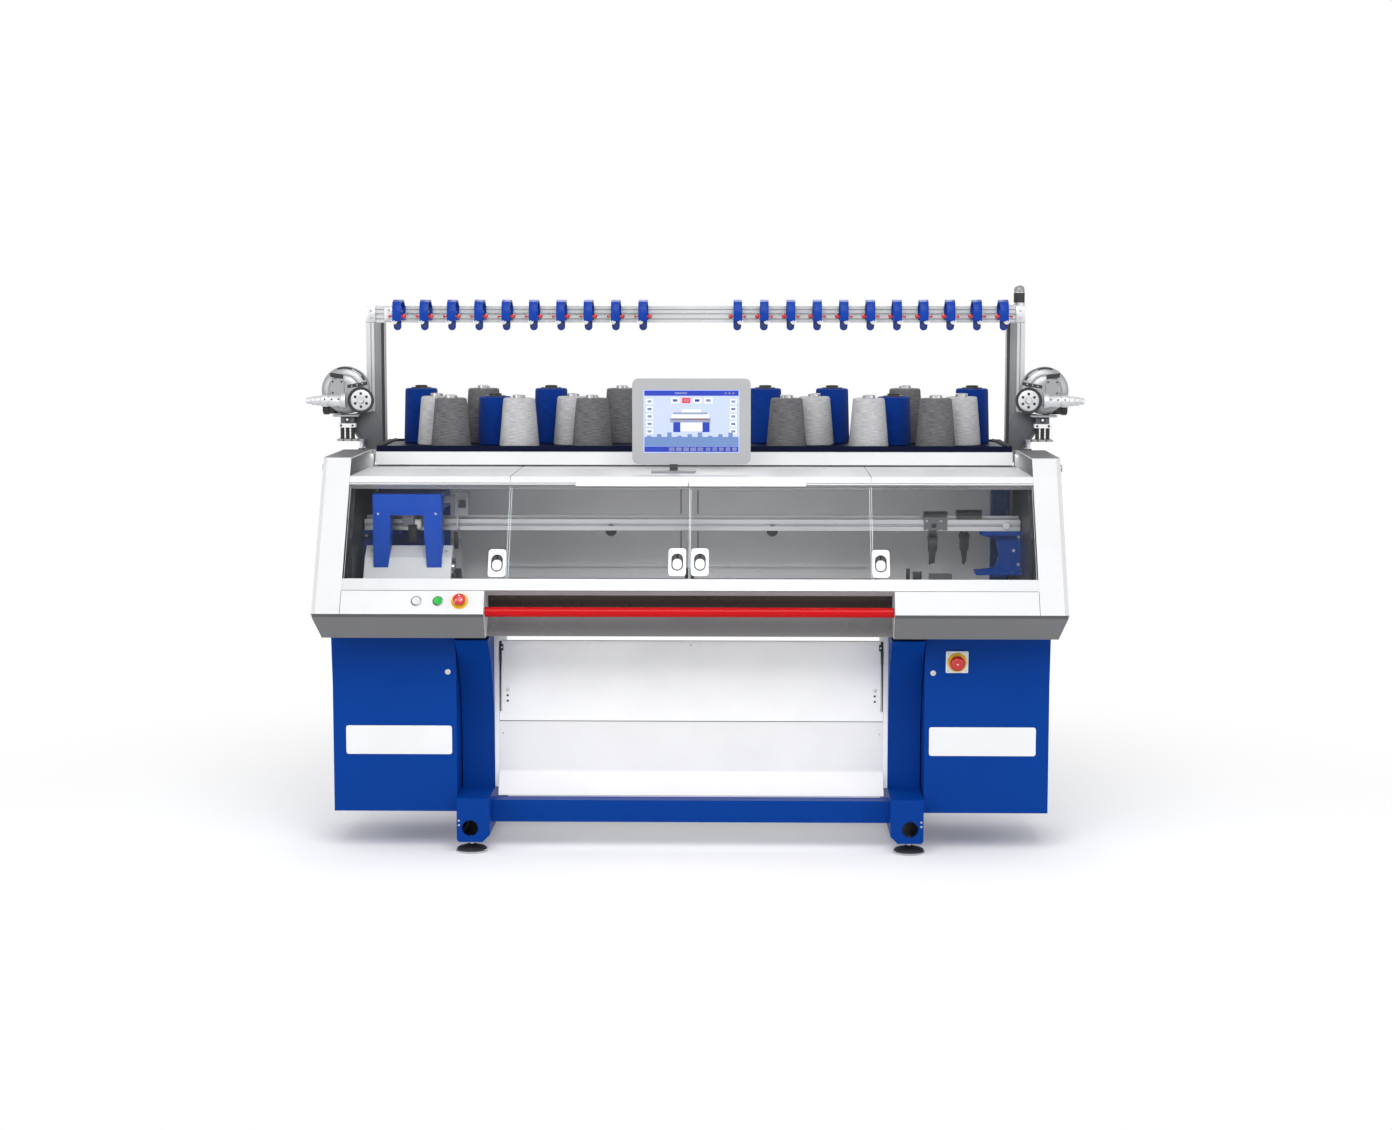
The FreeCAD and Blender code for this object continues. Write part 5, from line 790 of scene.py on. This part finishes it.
# The yarn table and its cones: yarn cross-wound on conical tubes. Grey cones of melange yarn
# stand on silver tubes, the slimmer blue ones on black tubes with a ring at the top.
TABLE_HALF = 1203
CONE_FOOT = 1414
DARK, LIGHT, DYED, SILVER_TUBE, BLACK_TUBE = range(5)
CONE_ROWS = (
    (768, 186, ((-0.772, DARK), (-0.555, LIGHT), (-0.323, DARK), (0.293, DARK), (0.553, LIGHT), (0.765, DARK))),
    (911, 186, ((-0.831, LIGHT), (-0.642, DYED), (-0.392, LIGHT), (0.384, LIGHT), (0.638, DYED),
                (0.856, LIGHT))),
    (1054, 212, ((-0.896, DYED), (-0.692, DARK), (-0.471, DYED), (-0.239, DARK), (0.227, DYED), (0.445, DYED),
                 (0.682, DARK), (0.9, DYED))),
)
TUBE = ((0, -1), (24, -1), (24, 11), (22.6, 12), (20, 12), (20, -36), (0, -36))
TUBE_RING = ((25, 0.2), (40, 0.2), (40, 3), (38, 4.4), (25, 4.4), (25, 0.2))
THREADS_AROUND = 16
THREADS_UP = 95
navy_paint = finish("navy_paint", powder_coat, (0.002, 0.005, 0.022), 0.35, specular=0.08)
coat_nodes(navy_paint, "yarn_table")
wound, given, result = new_skin("wound_yarn", ("Fleck", "Float", 0.4))
winding = wound.nodes.new("ShaderNodeTexCoord").outputs["UV"]
along = shader_node(wound, "SeparateXYZ", {0: winding}).outputs
waves = []
for lean in (1, -1):
    slope = shader_node(wound, "Math", {0: along["X"], 1: lean * 2 * pi * THREADS_AROUND}, operation="MULTIPLY")
    climb = shader_node(wound, "Math", {0: along["Y"], 1: 2 * pi * THREADS_UP, 2: slope.outputs[0]},
                        operation="MULTIPLY_ADD")
    waves.append(shader_node(wound, "Math", {0: climb.outputs[0]}, operation="SINE").outputs[0])
crossed = shader_node(wound, "Math", {0: waves[0], 1: waves[1]}, operation="MAXIMUM")
stretched = shader_node(wound, "Mapping", {"Vector": winding, "Scale": (12, 95, 1)})
flecks = shader_node(wound, "TexNoise", {
    "Vector": stretched.outputs["Vector"], "Scale": 1, "Detail": 5, "Roughness": 0.7}).outputs["Fac"]
darkest = shader_node(wound, "Math", {0: 1.0, 1: given["Fleck"]}, operation="SUBTRACT")
shade = shader_node(wound, "MapRange", {
    "Value": flecks, "From Min": 0.36, "From Max": 0.62, "To Min": darkest.outputs[0]})
dye = shader_node(wound, "Mix", {"Factor": 1, "A": given["Colour"], "B": shade.outputs["Result"]},
                  data_type="RGBA", blend_type="MULTIPLY")
fuzz = shader_node(wound, "Math", {0: crossed.outputs[0], 1: 0.5, 2: flecks}, operation="MULTIPLY_ADD")
ridge = shader_node(wound, "Bump", {"Strength": given["Relief"], "Distance": 0.0012, "Height": fuzz.outputs[0]})
set_sockets(result, {
    "Colour": dye.outputs["Result"], "Roughness": given["Roughness"], "Normal": ridge.outputs["Normal"]})


def yarn(name, colour, fleck):
    """A wound yarn of one dye, with its flecks and a soft sheen."""
    made = finish(name, wound, colour, 0.85, 0.7, specular=0.1)
    set_sockets(made.node_tree.nodes["skin"], {"Fleck": fleck})
    set_sockets(made.node_tree.nodes["Principled BSDF"], {"Sheen Weight": 0.08})
    return made


cones = bmesh.new()
unwrapped = cones.loops.layers.uv.new("winding")
for depth, tall, row in CONE_ROWS:
    for share, colour in row:
        foot = at(share * TABLE_HALF, depth, CONE_FOOT)
        wide, narrow = (69, 63) if colour == DYED else (76, 60.8)
        yarn_verts = turned(cones, (
            (0, 0), (wide - 6, 0), (wide - 1.4, 2), (wide, 7), (narrow, tall - 7), (narrow - 2.3, tall - 2),
            (narrow - 7, tall), (0, tall)), foot, index=colour, sides=40)
        for face in {face for vert in yarn_verts for face in vert.link_faces}:
            middle = face.calc_center_median() - foot
            centre = atan2(middle.y, middle.x) / (2 * pi)
            flat = abs(face.normal.z) > 0.9
            for loop in face.loops:
                away = loop.vert.co - foot
                angle = atan2(away.y, away.x) / (2 * pi)
                angle += round(centre - angle)
                loop[unwrapped].uv = (angle, away.z / 0.2 + (away.xy.length * 4 if flat else 0))
        crown = foot + Vector((0, 0, tall / 1000))
        turned(cones, TUBE, crown, index=BLACK_TUBE if colour == DYED else SILVER_TUBE, sides=28)
        if colour == DYED:
            turned(cones, TUBE_RING, crown, index=BLACK_TUBE, sides=28)
piece("yarn_cones_wound", cones, (
    yarn("dark_yarn", (0.22, 0.22, 0.225), 0.62), yarn("light_yarn", (0.70, 0.70, 0.71), 0.42),
    yarn("blue_yarn", (0.001, 0.045, 0.33), 0.45), steel, black_plastic,
), "frame", ("yarn_cones",))

# The uprights and the top beam: anodised aluminium profiles with lengthwise grooves, bolted
# through end blocks. White arms carry the table, and black elbow fittings stand at its two corners.
ROOF_TOP = 1345.5
BEAM_LOW = 1883
upright_metal = finish("upright_metal", machined, (0.62, 0.63, 0.64), 0.36, 0.2, metallic=0.3)
# Painted shade: the inner part of each upright's front, below the beam, is a darker grey that stands in for
# shade.
recolour(upright_metal, (0.24, 0.245, 0.25), ("Object", "X", ">", 1.2028), ("Object", "X", "<", 1.242),
         ("Object", "Z", "<", 1.884), ("Normal", "Y", "<", -0.5))
coat_nodes(upright_metal, "uprights", "top_beam")
groove_and_shade_dark = finish("groove_and_shade_dark", powder_coat, (0.05, 0.052, 0.056), 0.45, specular=0.2)
groove_grey = finish("groove_grey", powder_coat, (0.26, 0.265, 0.27), 0.45)
profile = bmesh.new()
for side in (-1, 1):
    # Painted shade: the first dark strip, on the inner edge of each upright's front, stands in for the shade at
    # that edge; the other strips are grooves.
    for near, far, y, low, paint in (
        (1203, 1215, (919.6, 921), ROOF_TOP, 0), (1230, 1234, (919.7, 921), ROOF_TOP, 4),
        (1252, 1256, (919.7, 921), ROOF_TOP, 4), (1222, 1227, (979, 980.3), ROOF_TOP, 0),
        (1250, 1255, (979, 980.3), ROOF_TOP, 0), (1202.6, 1204, (944, 952), 1424, 0),
        (1272, 1273.4, (944, 952), ROOF_TOP, 0),
    ):
        block(profile, (side * near, side * far), y, (low, BEAM_LOW), 0.2, paint, 1)
    block(profile, (side * 1236, side * 1273), (922, 968), (1884.3, 1946), 2.5, 1)
    block(profile, (side * 1166, side * 1202), (924.6, 930), (1890, 1942), 1.5, 1)
    for x, y, z, radius, height in (
        (1254, 921.9, 1902, 5.4, 3), (1254, 921.9, 1930, 5.4, 3), (1184, 924.5, 1900, 5.4, 3),
        (1184, 924.5, 1932, 5.4, 3), (1238, 919.7, 1440, 5, 2.6), (1238, 919.7, 1500, 5, 2.6),
    ):
        screw(profile, at(side * x, y, z), FRONT, radius, 2, height)
    for start, end, radius, paint in (
        ((1192, 706, 1400.4), (1192, 706, 1428), 11, 3), ((1194, 706, 1420), (1150, 712, 1440), 8.5, 0),
        ((1152, 712, 1439), (1128, 716, 1444), 6, 3),
    ):
        rod(profile, at(side * start[0], *start[1:]), at(side * end[0], *end[1:]), radius, 1, paint)
piece("profile_fittings", profile, (groove_and_shade_dark, aluminium, steel, black_plastic, groove_grey),
      "frame")
beam_grooves = bmesh.new()
for low in (1932, 1896):
    block(beam_grooves, (-1243, 1243), (929.7, 931), (low, low + 4), 0.2, 0, 1)
piece("beam_lines", beam_grooves, (groove_grey,), "frame")

# The yarn brakes: bent blue straps along the beam, each with a red tension ball and pin, a bright
# disc tensioner in front, and a dark blue guard loop that hangs below.
BRAKES = ([(-1136 + step * 104.4, 1) for step in range(10)] + [(1179 - step * 101.3, -1) for step in range(11)])
STRAP = ((930, 1894), (930, 1948), (887, 1972), (823, 1972.6), (800, 1964), (788, 1944), (785.7, 1926),
         (785.7, 1890), (794.5, 1889), (795, 1926), (797, 1940), (806, 1956), (826, 1963), (884, 1962.5),
         (920, 1943), (920, 1894))
STRAP_WIDTH = 33
BALL = ((0, 0), (4, 0), (4, 4), (7.5, 6), (9.5, 10), (9.5, 13), (7.5, 17), (3, 19.6), (0, 20))
PIN = ((0, 0), (3, 0), (3, 8), (5, 9), (5.6, 12), (4.5, 16), (0, 17))
DISCS = ((0, 0), (11, 0), (11, 1.6), (3, 3.4), (3, 6.6), (11, 8.4), (11, 10), (0, 10))
brake_blue = finish("brake_blue", powder_coat, (0.003, 0.045, 0.34), 0.28, specular=0.15)
guard_blue = finish("guard_blue", moulded, (0.006, 0.028, 0.22), 0.16, 0.05, specular=0.3)
guard_dark = finish("guard_dark", moulded, (0.02, 0.035, 0.12), 0.16, 0.05, specular=0.4)
brakes = bmesh.new()
for middle, inward in BRAKES:
    plate(brakes, [at(middle - STRAP_WIDTH / 2, y, z) for y, z in STRAP],
          Vector((STRAP_WIDTH / 1000, 0, 0)), 2, 0)
    block(brakes, (middle - 10, middle + 10), (794.2, 866), (1906, 1948), 3, 1, 1)
    rod(brakes, at(middle, 866, 1926), at(middle, 922, 1926), 7, 0, 5, 14)
    turned(brakes, BALL, at(middle + inward * 16, 797, 1909), (inward, 0, 0), 2, 16)
    turned(brakes, PIN, at(middle - inward * 16, 797, 1909), (-inward, 0, 0), 2, 14)
    turned(brakes, DISCS, at(middle - inward * 9, 797, 1890), FRONT, 5, 24)
    turned(brakes, ((0, 0), (4, 0), (4, 3), (0, 3)), at(middle - inward * 9, 787, 1890), FRONT, 3, 14)
    rounded_plate(brakes, 30, 56, 4, 14.5, facing_front(middle + inward * 2, 804, 1884), 0.9, 4)
    rounded_plate(brakes, 17, 36, 4.8, 8, facing_front(middle + inward * 2, 804.3, 1884), 0.5, 6)
piece("yarn_brakes_detail", brakes, (
    brake_blue, black_plastic, red_plastic, steel, guard_blue, aluminium, guard_dark,
), "frame", ("yarn_brakes",))

# The signal lamp: a bright turned base on a plate at the end of the beam, a black band and a smoked
# clear dome above it.
LAMP_FOOT = at(1251, 950, 1951)
LAMP_RINGS = (
    (((0, 0), (22, 0), (22, 7), (20.6, 8.5), (20.6, 10), (0, 10)), 1),
    (((0, 10.2), (21.4, 10.2), (21.4, 28), (20.8, 28.6), (20.8, 30), (21.4, 30.6), (21.4, 47), (0, 47)), 2),
    (((0, 47.2), (20.6, 47.2), (20.6, 62), (18.6, 69), (13, 74.6), (5, 76.9), (0, 77)), 3),
    (((20.4, 47.4), (21.3, 48), (21.3, 49.6), (20.4, 50.2), (20.4, 47.4)), 1),
)
smoked = finish("smoked_dome", moulded, (0.26, 0.265, 0.27), 0.08, 0.02, coat=0.6)
signal = bmesh.new()
rounded_plate(signal, 70, 44, 3, 4, Matrix.Translation(at(1238, 950, 1948)), 0.8)
for y in (935, 965):
    screw(signal, at(1212, y, 1951), (0, 0, 1), 4, 1, 2.2)
for outline, paint in LAMP_RINGS:
    turned(signal, outline, LAMP_FOOT, index=paint)
piece("signal_lamp_detail", signal, (aluminium, steel, black_plastic, smoked), "frame",
      ("signal_lamp",))

# The side yarn feeders: a cast domed head, a feed cylinder with two nozzles and a black motor roll
# on a flange, which stand on ribbed pillars and a folded grey bracket beside the table.
HEAD_X = 1334
HEAD_Z = 1628
BRACKET = ((1203, 1400.2), (1247, 1400.2), (1322, 1500), (1322, 1536), (1222, 1548), (1203, 1488))
BRACKET_RIB = ((1247, 1400.2), (1258, 1400.2), (1322, 1490), (1322, 1504))
HEAD_RIM = ((0, 0), (88, 0), (91, 3), (91, 22), (87, 28), (84.6, 30), (84.6, 38), (89, 40), (89, 47), (80, 55),
            (64, 60), (61, 60), (61, 58), (0, 58))
HEAD_DOME = ((0, 57), (56, 57), (56, 62), (50, 65.6), (30, 67.6), (0, 68))
HEAD_SLOT = ((1336, 1672), (1386, 1680), (1388, 1696), (1338, 1690))
HEAD_BAR = ((1322, 1636), (1246, 1650), (1246, 1662), (1322, 1650))
FRONT_BARREL = ((0, 0), (30, 0), (30, 16), (26, 20), (24, 24), (24, 60), (22, 62), (22, 66), (24, 68), (24, 92),
                (19, 98), (19, 112), (15, 117), (7, 117), (7, 96), (0, 96))
REAR_NOZZLE = ((0, 0), (22, 0), (22, 36), (17, 44), (17, 74), (13, 80), (13, 92), (10, 96.8), (5, 96.8),
               (5, 80), (0, 80))
MOTOR_ROLL = ((0, 0), (20, 0), (24, 3), (24, 24), (21, 26), (21, 70), (24, 73), (24, 90), (20, 94), (0, 94))
EYELET = ((5.5, 0), (9.6, 0), (10.6, 2), (10.6, 6), (5.5, 6), (5.5, 0))
PILLAR_RIBS = [(0, 0), (8, 0)]
for step in range(7):
    low = step * 6
    PILLAR_RIBS += [(8.4, low + 1), (8.4, low + 3.6), (6.8, low + 4.2), (6.8, low + 6.4)]
PILLAR_RIBS += [(8, 43), (0, 43)]
STUB = ((0, 0), (9, 0), (9, 28), (12, 30), (12, 34), (0, 34))
STUB_FOOT = ((0, 0), (15, 0), (15, 4), (12, 6), (0, 6))
TYRE = ((40, 1), (49, 0), (50, 1), (50, 3), (47.6, 4), (50, 5), (50, 7.4), (48.6, 8.4), (41, 8.4), (40, 6),
        (40, 1))
HUB = ((0, 1.4), (40.4, 1.4), (40.4, 4), (34, 5.6), (14, 5.6), (12, 8), (12, 14), (10.4, 15.8), (4, 15.8),
       (3.4, 12), (0, 12))
cast_metal = finish("cast_metal", powder_coat, (0.34, 0.35, 0.36), 0.30, 0.5, metallic=0.55)
bracket_grey = finish("bracket_grey", powder_coat, (0.10, 0.105, 0.115), 0.38, specular=0.3)
feeders = bmesh.new()


def arc_band(bm, side, near, far, y, depth, start, end, index):
    """A curved strip on the face of the head, between two angles from the inboard side."""
    turns = [start + (end - start) * step / 10 for step in range(11)]
    corners = [at(side * (HEAD_X - radius * cos(radians(turn))), y, HEAD_Z + radius * sin(radians(turn)))
               for radius, turn in [(near, turn) for turn in turns] + [(far, turn) for turn in reversed(turns)]]
    plate(bm, corners, Vector((0, -depth / 1000, 0)), 0.8, index, 1)


def upright_plate(bm, side, outline, y, thick, edge, index, steps=1):
    """A plate that stands across the machine, by its outline on the right side."""
    plate(bm, [at(side * x, y, z) for x, z in outline], Vector((0, thick / 1000, 0)), edge, index, steps)


for side in (-1, 1):
    head = at(side * HEAD_X, 814, HEAD_Z)
    upright_plate(feeders, side, BRACKET, 802, 11.8, 1.5, 1, 2)
    upright_plate(feeders, side, BRACKET_RIB, 790, 13, 1, 1)
    turned(feeders, HEAD_RIM, head, FRONT, 0, 56)
    turned(feeders, HEAD_DOME, head, FRONT, 0, 48)
    arc_band(feeders, side, 78, 89.4, 771, 10, 28, 108, 2)
    arc_band(feeders, side, 83, 86.4, 763, 3.4, 40, 70, 3)
    upright_plate(feeders, side, HEAD_SLOT, 750, -4, 1.5, 2)
    rounded_plate(feeders, 50, 62, 8, 5, facing_front(side * (HEAD_X + 24), 748, HEAD_Z + 12), 1.5, 0)
    for x, z in ((42, 34), (8, 34), (42, -8)):
        screw(feeders, at(side * (HEAD_X + x), 740, HEAD_Z + z), FRONT, 3.6, 2, 2)
    upright_plate(feeders, side, HEAD_BAR, 758, -12, 1, 2)
    for x, z in ((-50, 22), (-30, 18), (-70, 26)):
        screw(feeders, at(side * (HEAD_X + x), 745.8, HEAD_Z + z), FRONT, 2.6, 3, 1.4)
    turned(feeders, FRONT_BARREL, at(side * 1326, 742, 1590), (side, 0, 0), 3, 32)
    turned(feeders, REAR_NOZZLE, at(side * 1389, 786, 1588), (side, 0, 0), 3, 28)
    for x in (1352, 1378, 1404):
        screw(feeders, at(side * x, 718.4, 1596), FRONT, 3.4, 2, 1.6)
    turned(feeders, MOTOR_ROLL, at(side * 1326, 782, 1559), (side, 0, 0), 2, 30)
    rounded_plate(feeders, 100, 64, 8, 6, Matrix.Translation(at(side * 1330, 782, 1528)), 1.5, 0)
    turned(feeders, EYELET, at(side * 1326, 764.4, 1517), FRONT, 2, 20)
    turned(feeders, ((0, 0), (4.6, 0), (4.6, 5), (0, 5)), at(side * 1326, 764.2, 1517), FRONT, 4, 16)
    block(feeders, (side * 1300, side * 1352), (764, 800), (1501.2, 1528.2), 2, 1)
    rounded_plate(feeders, 66, 16, 34, 3, facing_front(side * 1328, 798, 1494), 1, 4)
    for x in (1306, 1350):
        screw(feeders, at(side * x, 764, 1494), FRONT, 4.4, 2, 2)
    for x in (1308, 1328, 1348):
        turned(feeders, PILLAR_RIBS, at(side * x, 782, 1443), index=2, sides=18)
    rounded_plate(feeders, 104, 62, 8, 6, Matrix.Translation(at(side * 1314, 782, 1435)), 1.2, 0)
    for x in (1284, 1308, 1340):
        screw(feeders, at(side * x, 750.8, 1439), FRONT, 3.4, 2, 1.6)
    turned(feeders, STUB, at(side * 1274, 782, 1401.2), index=3, sides=20)
    turned(feeders, STUB_FOOT, at(side * 1274, 782, 1400.4), index=2, sides=20)
piece("side_feeders_detail", feeders, (cast_metal, bracket_grey, black_plastic, aluminium, white_paint),
      "frame", ("side_feeders",))
for side, body in ((-1, "feeder_wheel_left"), (1, "feeder_wheel_right")):
    wheel = bmesh.new()
    seat = at(side * 1270, 749.7, 1592)
    turned(wheel, TYRE, seat, FRONT, 0, 56)
    turned(wheel, HUB, seat, FRONT, 1, 48)
    for turn in range(30, 390, 60):
        turned(wheel, ((0, 0), (5.5, 0), (5.5, 0.9), (0, 0.9)),
               seat + Vector((0.025 * cos(radians(turn)), -0.0054, 0.025 * sin(radians(turn)))), FRONT, 0, 14)
    piece(body + "_detail", wheel, (black_plastic, aluminium), body, (body,))

# The side latches: turned knobs with a knurled rim, pressed on the shafts that lock the covers.
# They are turned from steel and left bare.
knurled = skin_group("knurled", (1, 260, 260), 1, 0.10, 0.0012)
knurled_steel = finish("knurled_steel", knurled, (0.40, 0.41, 0.42), 0.30, 0.6, metallic=1)
coat_nodes(knurled_steel, "side_latch_left", "side_latch_right")
